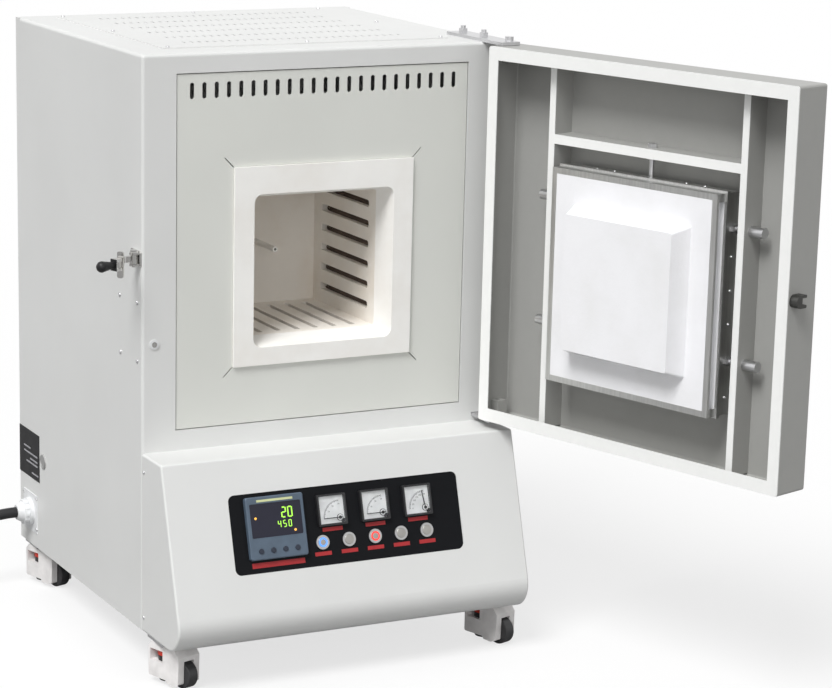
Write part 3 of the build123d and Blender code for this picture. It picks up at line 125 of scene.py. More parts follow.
def slope(x, s, out=0.0):
    """Matrix of the console slope: local X across, local Y up the slope, local Z out of it."""
    y_dir = Vector((0, math.sin(SLOPE_ANGLE), math.cos(SLOPE_ANGLE)))
    z_dir = Vector((0, -math.cos(SLOPE_ANGLE), math.sin(SLOPE_ANGLE)))
    at = Vector((x, -LEDGE_D, LEDGE_Z)) - y_dir * s + z_dir * out
    turn = Matrix((Vector((1, 0, 0)), y_dir, z_dir)).transposed().to_4x4()
    return Matrix.Translation(at / 1000 + SHIFT) @ turn


def door_matrix():
    """From the shut door's place to the open one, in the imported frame."""
    pivot = P(*PIVOT)
    return Matrix.Translation(pivot) @ Matrix.Rotation(DOOR_OPEN, 4, "Z") @ Matrix.Translation(-pivot)


def facing(direction):
    """Turn that points local Z along a direction."""
    return Vector(direction).to_track_quat("Z", "Y").to_matrix().to_4x4()


def heading(degrees):
    """Level direction at an angle from +X."""
    return Matrix.Rotation(math.radians(degrees), 4, "Z") @ Vector((1, 0, 0))


# Shader helpers

def shader(name):
    material = bpy.data.materials.new(name)
    material.use_nodes = True
    tree = material.node_tree
    return material, tree, tree.nodes["Principled BSDF"]


def node(tree, kind, **values):
    """New shader node; each value is a setting of the node or, failing that, one of its inputs."""
    made = tree.nodes.new(kind)
    for key, value in values.items():
        if hasattr(made, key):
            setattr(made, key, value)
        else:
            made.inputs[key].default_value = value
    return made


def coords(tree, stretch=(1, 1, 1)):
    where = tree.nodes.new("ShaderNodeTexCoord")
    scale = node(tree, "ShaderNodeMapping")
    scale.inputs["Scale"].default_value = stretch
    tree.links.new(where.outputs["Object"], scale.inputs["Vector"])
    return scale.outputs["Vector"]


def noise(tree, vector, scale, detail=3.0, rough=0.55):
    made = node(tree, "ShaderNodeTexNoise", Scale=scale, Detail=detail, Roughness=rough)
    tree.links.new(vector, made.inputs["Vector"])
    return made.outputs["Fac"]


def ramp(tree, value, stops):
    """Colour ramp through (position, colour) stops."""
    made = tree.nodes.new("ShaderNodeValToRGB")
    bar = made.color_ramp
    while len(bar.elements) < len(stops):
        bar.elements.new(0.5)
    for element, (at, colour) in zip(bar.elements, stops):
        element.position = at
        element.color = (*colour, 1)
    tree.links.new(value, made.inputs["Fac"])
    return made.outputs["Color"]


def remap(tree, value, low, high):
    """A value from 0 to 1 spread between low and high."""
    made = node(tree, "ShaderNodeMapRange")
    made.inputs["To Min"].default_value = low
    made.inputs["To Max"].default_value = high
    tree.links.new(value, made.inputs["Value"])
    return made.outputs["Result"]


def bump(tree, value, strength, distance, bsdf):
    made = node(tree, "ShaderNodeBump", Strength=strength, Distance=distance)
    tree.links.new(value, made.inputs["Height"])
    tree.links.new(made.outputs["Normal"], bsdf.inputs["Normal"])


def tint(colour, gain):
    return tuple(min(1.0, c * gain) for c in colour)


# Materials

def paint(name, colour, rough=0.38, peel=0.05):
    """Powder coat with a faint orange peel and a slight drift of tone."""
    material, tree, bsdf = shader(name)
    where = coords(tree)
    tone = noise(tree, where, 5.0, 2.0)
    tree.links.new(ramp(tree, tone, [(0.3, tint(colour, 0.975)), (0.7, tint(colour, 1.015))]),
                   bsdf.inputs["Base Color"])
    fine = noise(tree, where, 420.0, 2.0)
    worn = noise(tree, where, 60.0)
    tree.links.new(remap(tree, worn, rough - 0.05, rough + 0.07), bsdf.inputs["Roughness"])
    bsdf.inputs["Specular IOR Level"].default_value = 0.4
    bump(tree, fine, peel, 0.0006, bsdf)
    return material


def metal(name, colour, rough, brush=None):
    """Bare metal; brush is the stretch that draws the grain out along one way."""
    material, tree, bsdf = shader(name)
    where = coords(tree, brush or (1, 1, 1))
    grain = noise(tree, where, 260.0 if brush else 40.0, 4.0)
    tree.links.new(ramp(tree, grain, [(0.25, tint(colour, 0.86)), (0.75, tint(colour, 1.06))]),
                   bsdf.inputs["Base Color"])
    tree.links.new(remap(tree, grain, rough * 0.75, rough * 1.3), bsdf.inputs["Roughness"])
    bsdf.inputs["Metallic"].default_value = 1.0
    bump(tree, grain, 0.08, 0.0004, bsdf)
    return material


def plastic(name, colour, rough=0.35, grain=0.06, scale=900.0):
    """Moulded plastic or rubber with a fine spark texture."""
    material, tree, bsdf = shader(name)
    where = coords(tree)
    tone = noise(tree, where, 45.0, 2.0)
    tree.links.new(ramp(tree, tone, [(0.3, tint(colour, 0.9)), (0.7, tint(colour, 1.08))]),
                   bsdf.inputs["Base Color"])
    fine = noise(tree, where, scale, 3.0)
    tree.links.new(remap(tree, fine, rough - 0.06, rough + 0.1), bsdf.inputs["Roughness"])
    bump(tree, fine, grain, 0.0004, bsdf)
    return material


def fibre(name, pale, stain, depth):
    """Vacuum-formed ceramic fibre: matt, lumpy and faintly scorched in patches."""
    material, tree, bsdf = shader(name)
    where = coords(tree)
    patch = noise(tree, where, 11.0, 4.0, 0.6)
    tree.links.new(ramp(tree, patch, [(0.28, stain), (0.55, pale), (0.8, tint(pale, 1.03))]),
                   bsdf.inputs["Base Color"])
    bsdf.inputs["Roughness"].default_value = 0.92
    bsdf.inputs["Specular IOR Level"].default_value = 0.15
    lumps = node(tree, "ShaderNodeMath", operation="ADD")
    tree.links.new(noise(tree, where, 190.0, 5.0, 0.65), lumps.inputs[0])
    tree.links.new(noise(tree, where, 36.0, 2.0), lumps.inputs[1])
    bump(tree, lumps.outputs["Value"], depth, 0.0012, bsdf)
    return material


def zoned(name, point, normal, below, above, shine=0.3, drift=0.06):
    """Two finishes on one moulding, parted by a plane: each is (colour, roughness, metallic)."""
    material, tree, bsdf = shader(name)
    where = tree.nodes.new("ShaderNodeTexCoord")
    dot = node(tree, "ShaderNodeVectorMath", operation="DOT_PRODUCT")
    dot.inputs[1].default_value = Vector(normal)
    tree.links.new(where.outputs["Object"], dot.inputs[0])
    side = node(tree, "ShaderNodeMath", operation="GREATER_THAN")
    side.inputs[1].default_value = Vector(normal).dot(point)
    tree.links.new(dot.outputs["Value"], side.inputs[0])
    mask = side.outputs["Value"]
    tone = noise(tree, where.outputs["Object"], 60.0)
    pick = node(tree, "ShaderNodeMix", data_type="RGBA")
    for socket, zone in ((6, below), (7, above)):
        shade = ramp(tree, tone, [(0.3, tint(zone[0], 1 - drift)), (0.7, tint(zone[0], 1 + drift / 2))])
        tree.links.new(shade, pick.inputs[socket])
    tree.links.new(mask, pick.inputs[0])
    tree.links.new(pick.outputs[2], bsdf.inputs["Base Color"])
    for socket, index in (("Roughness", 1), ("Metallic", 2)):
        tree.links.new(remap(tree, mask, below[index], above[index]), bsdf.inputs[socket])
    bsdf.inputs["Specular IOR Level"].default_value = shine
    bump(tree, noise(tree, where.outputs["Object"], 700.0, 3.0), 0.05, 0.0004, bsdf)
    return material


def glow(name, colour, strength):
    """Lit lamp, digit or ring."""
    material, tree, bsdf = shader(name)
    bsdf.inputs["Base Color"].default_value = (*tint(colour, 0.6), 1)
    bsdf.inputs["Emission Color"].default_value = (*colour, 1)
    bsdf.inputs["Emission Strength"].default_value = strength
    bsdf.inputs["Roughness"].default_value = 0.3
    return material


def window(name):
    """Clear meter window."""
    material, tree, bsdf = shader(name)
    bsdf.inputs["Base Color"].default_value = (0.98, 0.99, 1.0, 1)
    bsdf.inputs["Transmission Weight"].default_value = 1.0
    bsdf.inputs["Roughness"].default_value = 0.03
    bsdf.inputs["IOR"].default_value = 1.2
    return material


WHITE_PAINT = paint("casing_paint", (0.73, 0.735, 0.725))
FRONT_PAINT = paint("front_paint", (0.72, 0.73, 0.69))
ZINC = metal("zinc_plate", (0.66, 0.66, 0.67), 0.3)
STAINLESS = metal("stainless", (0.66, 0.66, 0.65), 0.32, (1, 1, 0.04))
CHROME = metal("chrome", (0.72, 0.71, 0.69), 0.12)
DARK_STEEL = metal("dark_steel", (0.11, 0.11, 0.105), 0.42)
BLACK = plastic("black_plastic", (0.018, 0.018, 0.02), 0.34)
RUBBER = plastic("black_rubber", (0.012, 0.012, 0.014), 0.52, 0.12, 500.0)
NYLON = plastic("wheel_nylon", (0.035, 0.035, 0.037), 0.4)
GLAND = plastic("white_gland", (0.78, 0.79, 0.8), 0.34)
FIBRE = fibre("fibre_board", (0.88, 0.88, 0.9), (0.84, 0.84, 0.85), 0.2)
RING_FIBRE = fibre("fibre_ring", (0.93, 0.92, 0.89), (0.89, 0.87, 0.83), 0.25)
WARM_FIBRE = fibre("fibre_chamber", (0.93, 0.89, 0.83), (0.88, 0.82, 0.74), 0.3)
WIRE = metal("resistance_wire", (0.16, 0.12, 0.1), 0.55)
CASTER = plastic("caster_paint", (0.84, 0.82, 0.81), 0.42)
RED_LABEL = plastic("red_label", (0.4, 0.02, 0.024), 0.5, 0.02)
PRINT = plastic("black_print", (0.02, 0.02, 0.02), 0.5, 0.0)
CARD = plastic("dial_card", (0.8, 0.8, 0.79), 0.6, 0.02)
GREY_PRINT = plastic("grey_print", (0.36, 0.36, 0.38), 0.5, 0.0)
NAMEPLATE = metal("nameplate", (0.02, 0.02, 0.022), 0.35)
GLASS = window("meter_window")
CONTROLLER_CASE = plastic("controller_bezel", (0.085, 0.12, 0.165), 0.42)
KEY = plastic("controller_key", (0.015, 0.022, 0.04), 0.35)
BUTTON = metal("button_metal", (0.42, 0.41, 0.39), 0.34)
SCREEN = plastic("controller_screen", (0.003, 0.003, 0.016), 0.4, 0.0)
STRIP = plastic("controller_strip", (0.62, 0.66, 0.36), 0.4, 0.0)
GREEN = glow("green_digits", (0.4, 0.85, 0.08), 0.9)
AMBER = glow("amber_lamps", (1.0, 0.5, 0.08), 0.9)

# One finish for each whole CAD node

NODE_MATERIALS = {
    "cabinet_casing": WHITE_PAINT, "rear_panel": WHITE_PAINT, "top_vent_cover": WHITE_PAINT,
    "console_cover": WHITE_PAINT, "front_panel": FRONT_PAINT, "base_plate": ZINC,
    "mouth_ring_upper": RING_FIBRE, "mouth_ring_lower": RING_FIBRE, "chamber_boards": WARM_FIBRE,
    "chamber_hood": WARM_FIBRE, "furnace_liner": STAINLESS, "thermocouple": RING_FIBRE,
    "hinge_plates": ZINC, "plug_casing": STAINLESS, "plug_board": FIBRE, "plug_hangers": ZINC,
    "catch_claw": DARK_STEEL, "latch_bracket": CHROME, "latch_arm": CHROME,
    "door_switch_plunger": CHROME, "power_gear": GLAND, "meter_cases": BLACK, "cord_gland": GLAND,
    "temperature_controller": CONTROLLER_CASE,
}
FAMILY_MATERIALS = {
    "caster_housing": CASTER, "caster_wheel": NYLON, "caster_foot": RUBBER, "meter_pointer": PRINT,
    "controller_key": KEY, "push_button": BUTTON,
}


def repaint(name, material):
    """One finish for a CAD node."""
    mesh = frame["nodes"][name].data
    mesh.materials.clear()
    mesh.materials.append(material)


def repaint_family(stem, material):
    """The same finish for every CAD node whose name starts with a stem."""
    for name in frame["nodes"]:
        if name.startswith(stem):
            repaint(name, material)


for name, material in NODE_MATERIALS.items():
    repaint(name, material)
for stem, material in FAMILY_MATERIALS.items():
    repaint_family(stem, material)

# Two finishes on one CAD node; a margin is how far from a face the plane between them lies

PANEL_MARGIN = 0.15
FLANGE_MARGIN = 1.6
MEMBER_MARGIN = 1.0
BLACK_RING = ((0.03, 0.03, 0.03), 0.4, 0.0)
RED_RING = ((0.62, 0.05, 0.03), 0.35, 0.0)
BLACK_PANEL = ((0.007, 0.0075, 0.009), 0.5, 0.0)
STEEL_RIM = ((0.5, 0.5, 0.5), 0.3, 1.0)
# Door zones: the grey is partly grey paint and partly painted shade of the recess and edges; the white is
# brightened above the cabinet paint as painted light
DOOR_GREY_AND_SHADE = ((0.385, 0.385, 0.37), 0.42, 0.0)
DOOR_WHITE_LIT = ((0.9, 0.905, 0.89), 0.4, 0.0)
LEVER_METAL = ((0.72, 0.71, 0.69), 0.14, 1.0)
LEVER_GRIP = ((0.015, 0.015, 0.016), 0.38, 0.0)
PLUG_RUBBER = ((0.014, 0.014, 0.015), 0.45, 0.0)
PLUG_BRASS = ((0.75, 0.62, 0.35), 0.25, 1.0)
DOOR_DRIFT = 0.015


def repaint_adjusters():
    """Caster rings, black below and red above."""
    ring = zoned("adjuster_ring", P(0, 0, ADJUSTER_MIDDLE), (0, 0, 1), BLACK_RING, RED_RING)
    repaint_family("caster_adjuster", ring)


def repaint_instrument_panel():
    """Black plate whose button rings, standing above its face, are bright."""
    on_face = slope(0, PANEL_MIDDLE, 0).translation
    outward = (slope(0, PANEL_MIDDLE, 1).translation - on_face).normalized()
    just_over = slope(0, PANEL_MIDDLE, PANEL_FACE + PANEL_MARGIN).translation
    finish = zoned("instrument_panel", just_over, outward, BLACK_PANEL, STEEL_RIM, shine=0.1)
    repaint("instrument_panel", finish)


def repaint_door():
    """Grey on the edges and in the deep recess, partly grey paint and partly painted shade; white, brightened
    as painted light, on the faces of the flanges and members that are turned to the furnace.
    """
    inward = Matrix.Rotation(DOOR_OPEN, 4, "Z") @ Vector((0, 1, 0))
    flange_line = DOOR @ P(0, -DOOR_GAP - FLANGE_MARGIN, PLUG_Z)
    member_line = DOOR @ P(0, MEMBER_FACE - MEMBER_MARGIN, PLUG_Z)
    for name, finish, line in (("door_shell", "door_paint", flange_line),
                               ("door_frame", "member_paint_and_shade", member_line)):
        repaint(name, zoned(finish, line, inward, DOOR_GREY_AND_SHADE, DOOR_WHITE_LIT, drift=DOOR_DRIFT))


def repaint_latch_lever():
    """Bright yoke round the cam, black grip beyond it."""
    cam = P(-HALF_W - LATCH_OUT, LATCH_Y, LATCH_Z) + heading(ARM_TURN) * (CAM_REACH / 1000)
    along = heading(ARM_TURN + LEVER_TURN)
    grip_start = cam + along * (CAM_R / 1000)
    repaint("latch_lever", zoned("latch_lever", grip_start, along, LEVER_METAL, LEVER_GRIP))


DOOR = door_matrix()
repaint_adjusters()
repaint_instrument_panel()
repaint_door()
repaint_latch_lever()

# Mesh helpers: sizes in millimetres, along the axes of a place's matrix

SHARP_ANGLE = math.radians(32)


def ring_of(bm, matrix, points, z):
    """Closed row of vertices through (x, y) points at a height."""
    return [bm.verts.new(matrix @ (Vector((x, y, z)) / 1000)) for x, y in points]


def loft(bm, rings):
    """Walls from ring to ring and a cap on both ends."""
    for low, high in zip(rings, rings[1:]):
        for i in range(len(low)):
            j = (i + 1) % len(low)
            bm.faces.new((low[i], low[j], high[j], high[i]))
    bm.faces.new(list(reversed(rings[0])))
    bm.faces.new(rings[-1])


def lathe(bm, matrix, profile, segments):
    """Solid of revolution about local Z; profile is (radius, height) from the bottom up."""
    step = 2 * math.pi / segments
    circle = [(math.cos(i * step), math.sin(i * step)) for i in range(segments)]
    loft(bm, [ring_of(bm, matrix, [(r * x, r * y) for x, y in circle], z) for r, z in profile])


def slab(bm, matrix, x0, x1, y0, y1, z0, z1, edge=0.0):
    """Box with its upper edges eased."""
    low = [(x0, y0), (x1, y0), (x1, y1), (x0, y1)]
    top = [(x0 + edge, y0 + edge), (x1 - edge, y0 + edge), (x1 - edge, y1 - edge), (x0 + edge, y1 - edge)]
    rows = [(low, z0), (low, z1 - edge), (top, z1)] if edge else [(low, z0), (low, z1)]
    loft(bm, [ring_of(bm, matrix, points, z) for points, z in rows])


def rounded_plate(bm, matrix, width, height, radius, z0, z1):
    """Plate with round corners."""
    corner_steps = 5
    points = []
    for side_x, side_y, start in ((1, 1, 0), (-1, 1, 90), (-1, -1, 180), (1, -1, 270)):
        for i in range(corner_steps + 1):
            a = math.radians(start + 90 * i / corner_steps)
            points.append((side_x * (width / 2 - radius) + radius * math.cos(a),
                           side_y * (height / 2 - radius) + radius * math.sin(a)))
    loft(bm, [ring_of(bm, matrix, points, z) for z in (z0, z1)])


def add_piece(name, data, body):
    """Object that rides on a CAD body."""
    piece = bpy.data.objects.new(name, data)
    bpy.context.scene.collection.objects.link(piece)
    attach(piece, body)
    return piece


def made(name, bm, material, body, slot, smooth=True):
    """Piece of the object from a finished bmesh."""
    mesh = bpy.data.meshes.new(name)
    bmesh.ops.recalc_face_normals(bm, faces=bm.faces)
    bm.to_mesh(mesh)
    bm.free()
    if smooth:
        mesh.shade_smooth()
        mesh.set_sharp_from_angle(angle=SHARP_ANGLE)
    mesh.materials.append(material)
    add_piece(name, mesh, body)


def turned(name, matrix, profile, segments, material, body, slot):
    """Piece that is one solid of revolution."""
    bm = bmesh.new()
    lathe(bm, matrix, profile, segments)
    made(name, bm, material, body, slot)


def plated(name, matrix, sizes, material, body, slot, smooth=True):
    """Piece that is one rounded plate; sizes are what rounded_plate takes."""
    bm = bmesh.new()
    rounded_plate(bm, matrix, *sizes)
    made(name, bm, material, body, slot, smooth)


# Screws and bolts: places on the sides are (y, z), on top (x, y), and behind (x, z)

LEFT = facing((-1, 0, 0))
RIGHT = facing((1, 0, 0))
BACK = facing((0, 1, 0))
SHEET_SCREW_R = 3.2
SMALL_SCREW_R = 2.6
UPPER_SCREWS = [(89.5, 581), (18.3, 582), (87.7, 492), (17.9, 492)]
GLAND_SCREWS = [(536, 154), (476, 154), (475, 102), (536, 102)]
CONSOLE_SCREW_Y = -9
CONSOLE_SCREW_Z = (324, 93)
COVER_SCREWS = [(x, y) for x in (-231, 0, 231) for y in (70, 520)] + [(x, 295) for x in (-231, 231)]
REAR_SCREWS = [(x, z) for x in (-286, 286) for z in (90, 365, 640, 935)] + [(0, 935), (0, 90)]
PLUG_BOLT_Y = -43
PLUG_BOLT_X = (-105, -70, 70, 105)
PLUG_BOLT_Z = (690, 640, 590, 480)
HEAD_SHARES = ((1, 0), (1, 0.35), (0.86, 0.6), (0.5, 0.72), (0.48, 0.72), (0.2, 0.45))


def screws(name, places, radius, body):
    """Pan heads with a hollow top, standing on the local Z of each place."""
    profile = [(radius * out, radius * up) for out, up in HEAD_SHARES]
    bm = bmesh.new()
    for matrix in places:
        lathe(bm, matrix, profile, 18)
    made(name, bm, ZINC, body, "zinc")


def cabinet_screws():
    left = [place(-HALF_W, y, z, LEFT) for y, z in UPPER_SCREWS + GLAND_SCREWS]
    screws("side_screws", left, SHEET_SCREW_R, "cabinet")
    right = [place(HALF_W, y, z, RIGHT) for y, z in UPPER_SCREWS]
    screws("right_side_screws", right, SHEET_SCREW_R, "cabinet")
    console = [place(side * HALF_W, CONSOLE_SCREW_Y, z, turn) for side, turn in ((-1, LEFT), (1, RIGHT))
               for z in CONSOLE_SCREW_Z]
    screws("console_screws", console, SMALL_SCREW_R, "cabinet")
    cover = [place(x, y, CAB_TOP + COVER_T) for x, y in COVER_SCREWS]
    screws("cover_screws", cover, SHEET_SCREW_R, "cabinet")
    rear = [place(x, CAB_D, z, BACK) for x, z in REAR_SCREWS]
    screws("rear_screws", rear, SHEET_SCREW_R, "cabinet")


cabinet_screws()

# Nameplate, with bare bars where lettering would be, and the round knock-out plug beside it

NAMEPLATE_AT = (509, 227.5)
NAMEPLATE_W = 97.0
NAMEPLATE_H = 81.0
NAMEPLATE_T = 0.8
NAMEPLATE_EDGE = 0.3
BAR_H = 2.8
BAR_BOTTOM = 0.7
BAR_TOP = 0.95
BARS = ((-26, 6, 10), (-26, 40, 1), (4, 40, -8), (-14, 4, -15), (4, 40, -15), (12, 44, -31))
SIDE_PLUG_AT = (441.4, 229.3)
SIDE_PLUG_PROFILE = [(13, 0), (13, 1.2), (12, 2.0), (9.5, 2.2), (9.0, 1.7), (0.5, 1.6)]


def nameplate():
    side_turn = Matrix((Vector((0, -1, 0)), Vector((0, 0, 1)), Vector((-1, 0, 0)))).transposed().to_4x4()
    plate = place(-HALF_W, *NAMEPLATE_AT, side_turn)
    half_w = NAMEPLATE_W / 2
    half_h = NAMEPLATE_H / 2
    bm = bmesh.new()
    slab(bm, plate, -half_w, half_w, -half_h, half_h, 0, NAMEPLATE_T, NAMEPLATE_EDGE)
    made("nameplate", bm, NAMEPLATE, "cabinet", "plate_black")
    bm = bmesh.new()
    for x0, x1, y in BARS:
        slab(bm, plate, x0, x1, y - BAR_H / 2, y + BAR_H / 2, BAR_BOTTOM, BAR_TOP)
    made("nameplate_bars", bm, GREY_PRINT, "cabinet", "stainless", smooth=False)


nameplate()
side_plug = place(-HALF_W, *SIDE_PLUG_AT, LEFT)
turned("side_plug", side_plug, SIDE_PLUG_PROFILE, 40, STAINLESS, "cabinet", "stainless")

# Gland nut, bolts of the door's plug and cap of the upper pivot

NUT_PROFILE = [(20.5, -0.2), (20.5, 7.0), (19.3, 8.0)]
RIB_COUNT = 12
RIB_BOX = (19.6, 21.4, -2.0, 2.0, 0.3, 7.2)
RIB_EDGE = 0.6
PIVOT_CAP_PROFILE = [(4.2, 0), (4.2, 5.6), (3.6, 6.6), (1.9, 6.8), (1.7, 5.2)]


def gland_nut():
    """Ribbed nut round the plain body of the CAD's gland."""
    gland = place(-HALF_W - GLAND_PLATE_T - GLAND_FLANGE, GLAND_Y, GLAND_Z, LEFT)
    bm = bmesh.new()
    lathe(bm, gland, NUT_PROFILE, 48)
    for i in range(RIB_COUNT):
        slab(bm, gland @ Matrix.Rotation(2 * math.pi * i / RIB_COUNT, 4, "Z"), *RIB_BOX, RIB_EDGE)
    made("gland_nut_ribs", bm, GLAND, "cabinet", "gland_white")


def plug_bolts():
    """Small bolts round the plug's casing, placed as if the door were shut, then carried open."""
    rows = [(x, PLUG_Z + up * PLUG_H / 2, (0, 0, up)) for up in (1, -1) for x in PLUG_BOLT_X]
    rows += [(side * PLUG_W / 2, z, (side, 0, 0)) for side in (-1, 1) for z in PLUG_BOLT_Z]
    places = [DOOR @ place(x, PLUG_BOLT_Y, z, facing(way)) for x, z, way in rows]
    screws("plug_bolts", places, SMALL_SCREW_R, "door")


gland_nut()
plug_bolts()
pivot_top = place(PIVOT.x, PIVOT.y, CAB_TOP + HINGE_T)
turned("pivot_cap", pivot_top, PIVOT_CAP_PROFILE, 24, BLACK, "cabinet", "plate_black")

# Controller: screen, digits, lamps and strip. A row of digits is its text, x, y, height and pitch

SCREEN_S = 98.7
SCREEN_DEEP = 1.2
SCREEN_SIZES = (84.6, 51.6, 1.8, -0.1, 0.5)
DIGIT_UP = 0.52
DIGIT_T = 0.12
UPPER_DIGITS = ("20", 9.0, 1.0, 17.0, 10.5)
LOWER_DIGITS = ("450", 2.0, -13.5, 11.0, 8.8)
LAMP_PLACES = ((-34.0, 4.0), (30.0, -19.0))
LAMP_PROFILE = [(2.0, 0), (2.0, 0.2), (1.3, 0.5)]
STRIP_BOX = (-30, 30, 39.5, 43.0, 0.0, 0.2)
SEGMENTS = {"0": "abcdef", "2": "abged", "4": "fgbc", "5": "afgcd"}


def digit(bm, matrix, character, x, y, height):
    """Seven-segment digit, its lower left corner at x, y."""
    w = height * 0.5
    t = height * 0.12
    half = height / 2
    bars = {"a": (t, w - t, height - t, height), "g": (t, w - t, half - t / 2, half + t / 2),
            "d": (t, w - t, 0, t), "f": (0, t, half, height - t / 2), "b": (w - t, w, half, height - t / 2),
            "e": (0, t, t / 2, half), "c": (w - t, w, t / 2, half)}
    for segment in SEGMENTS[character]:
        x0, x1, y0, y1 = bars[segment]
        slab(bm, matrix, x + x0, x + x1, y + y0, y + y1, 0, DIGIT_T)


def controller():
    across, down = CONTROLLER
    case_face = PANEL_FACE + CONTROLLER_PROUD
    screen = slope(across, SCREEN_S, case_face - SCREEN_DEEP)
    plated("controller_screen", screen, SCREEN_SIZES, SCREEN, "cabinet", "controller_case")
    glass = moved(screen, 0, 0, DIGIT_UP)
    bm = bmesh.new()
    for characters, x, y, height, pitch in (UPPER_DIGITS, LOWER_DIGITS):
        for index, character in enumerate(characters):
            digit(bm, glass, character, x + index * pitch, y, height)
    made("controller_digits", bm, GREEN, "cabinet", "controller_case", smooth=False)
    bm = bmesh.new()
    for x, y in LAMP_PLACES:
        lathe(bm, moved(glass, x, y), LAMP_PROFILE, 16)
    made("controller_lamps", bm, AMBER, "cabinet", "controller_case")
    bm = bmesh.new()
    slab(bm, slope(across, down, case_face), *STRIP_BOX)
    made("controller_strip", bm, STRIP, "cabinet", "controller_case", smooth=False)


# Red label strips, bare, under the instruments: half the width, then bottom and top

CONTROLLER_LABEL = (44, -60, -52)
METER_LABEL = (17, -32.5, -26.5)
BUTTON_LABEL = (14, -20.5, -14.5)
LABEL_T = 0.25
LABEL_EDGE = 0.1


def label_strips():
    labels = [(slope(*CONTROLLER, PANEL_FACE), CONTROLLER_LABEL)]
    labels += [(slope(x, METER_S, PANEL_FACE), METER_LABEL) for x in METERS]
    labels += [(slope(x, BUTTON_S, PANEL_FACE), BUTTON_LABEL) for x in BUTTONS]
    bm = bmesh.new()
    for matrix, (half_w, bottom, top) in labels:
        slab(bm, matrix, -half_w, half_w, bottom, top, 0.0, LABEL_T, LABEL_EDGE)
    made("red_label_strips", bm, RED_LABEL, "cabinet", "plate_black", smooth=False)


# Meters: the first and last number on each dial, and how many numbers it has

DIALS = ((0, 30, 4), (0, 30, 4), (0, 250, 6))
DIAL_W = 42.2
DIAL_CORNER_R = 0.6
CARD_SIZES = (DIAL_W, DIAL_W, DIAL_CORNER_R, -0.05, 0.25)
WINDOW_SIZES = (DIAL_W, DIAL_W, DIAL_CORNER_R, 0, 0.5)
CARD_UP = 2.4
HUB_UP = 3.6
WINDOW_UP = 6.2
HUB_IN = 13.0
HUB_RIM_PROFILE = [(5.4, 0), (5.4, 0.6), (5.0, 0.8)]
HUB_CAP_UP = 0.7
HUB_CAP_PROFILE = [(4.5, 0), (4.5, 0.3), (4.2, 0.4)]
CORNER_IN = 18.5
CORNER_UP = 0.3
CORNER_PROFILE = [(3.6, 0), (3.6, 2.4), (3.0, 2.8)]
SCALE_UP = 0.26
TICK_STEP = 3
TICK_COUNT = 31
TICK_OUT = 27.4
LONG_TICK_IN = 24.2
SHORT_TICK_IN = 25.4
LONG_TICK_EVERY = 5
TICK_HALF_W = 0.22
ARC_IN = 25.2
ARC_OUT = 25.5
ARC_HALF_L = 0.68
TICK_T = 0.08
MARK_R = 20.7
MARK_UP = 0.03
MARK_HALF_T = 0.04
MARK_SIZE = 3.4


def printed(name, words, size, matrix):
    """Flat black lettering on a dial, centred on a place."""
    curve = bpy.data.curves.new(name, "FONT")
    curve.body = words
    curve.size = size / 1000
    curve.align_x = "CENTER"
    curve.align_y = "CENTER"
    curve.extrude = MARK_HALF_T / 1000
    curve.resolution_u = 2
    lettering = bpy.data.objects.new(name + "_font", curve)
    bpy.context.scene.collection.objects.link(lettering)
    bpy.context.view_layer.update()
    mesh = bpy.data.meshes.new_from_object(lettering.evaluated_get(bpy.context.evaluated_depsgraph_get()))
    bpy.data.objects.remove(lettering)
    mesh.transform(matrix)
    mesh.materials.clear()
    mesh.materials.append(PRINT)
    add_piece(name, mesh, "cabinet")


def dial_scale(number, hub):
    """Quarter-circle scale: ticks, longer at every fifth, joined by short bars into an arc."""
    def spoke(degrees):
        return hub @ Matrix.Rotation(math.radians(180 - degrees), 4, "Z")

    bm = bmesh.new()
    for i in range(TICK_COUNT):
        tick_in = SHORT_TICK_IN if i % LONG_TICK_EVERY else LONG_TICK_IN
        slab(bm, spoke(TICK_STEP * i), tick_in, TICK_OUT, -TICK_HALF_W, TICK_HALF_W, 0, TICK_T)
    for i in range(TICK_COUNT - 1):
        slab(bm, spoke(TICK_STEP * (i + 0.5)), ARC_IN, ARC_OUT, -ARC_HALF_L, ARC_HALF_L, 0, TICK_T)
    made(f"dial_scale_{number}", bm, PRINT, "cabinet", "meter_case", smooth=False)


def dial_numbers(number, hub, low, high, count):
    for i in range(count):
        share = i / (count - 1)
        angle = math.radians(180 - 90 * share)
        at = moved(hub, MARK_R * math.cos(angle), MARK_R * math.sin(angle), MARK_UP)
        printed(f"dial_{number}_mark_{i + 1}", str(round(low + (high - low) * share)), MARK_SIZE, at)


def meter(number, x, low, high, count):
    """Card, scale, numbers and window of one meter, and the rim and cap of its pointer's hub."""
    face = slope(x, METER_S, PANEL_FACE + CARD_UP)
    plated(f"dial_card_{number}", face, CARD_SIZES, CARD, "cabinet", "meter_case", smooth=False)
    hub = moved(face, HUB_IN, -HUB_IN, SCALE_UP)
    dial_scale(number, hub)
    dial_numbers(number, hub, low, high, count)
    pane = slope(x, METER_S, PANEL_FACE + WINDOW_UP)
    plated(f"dial_window_{number}", pane, WINDOW_SIZES, GLASS, "cabinet", "meter_case", smooth=False)
    pointer = f"pointer_{number}"
    rim = moved(slope(x, METER_S, PANEL_FACE + HUB_UP), HUB_IN, -HUB_IN)
    turned(f"dial_hub_rim_{number}", rim, HUB_RIM_PROFILE, 32, BLACK, pointer, "pointer")
    cap = moved(rim, 0, 0, HUB_CAP_UP)
    turned(f"dial_hub_cap_{number}", cap, HUB_CAP_PROFILE, 32, CARD, pointer, "pointer")
    corner = moved(face, CORNER_IN, -CORNER_IN, CORNER_UP)
    turned(f"dial_corner_{number}", corner, CORNER_PROFILE, 24, BLACK, "cabinet", "meter_case")


# Push buttons: a turned face on each, and a lit ring on two of them

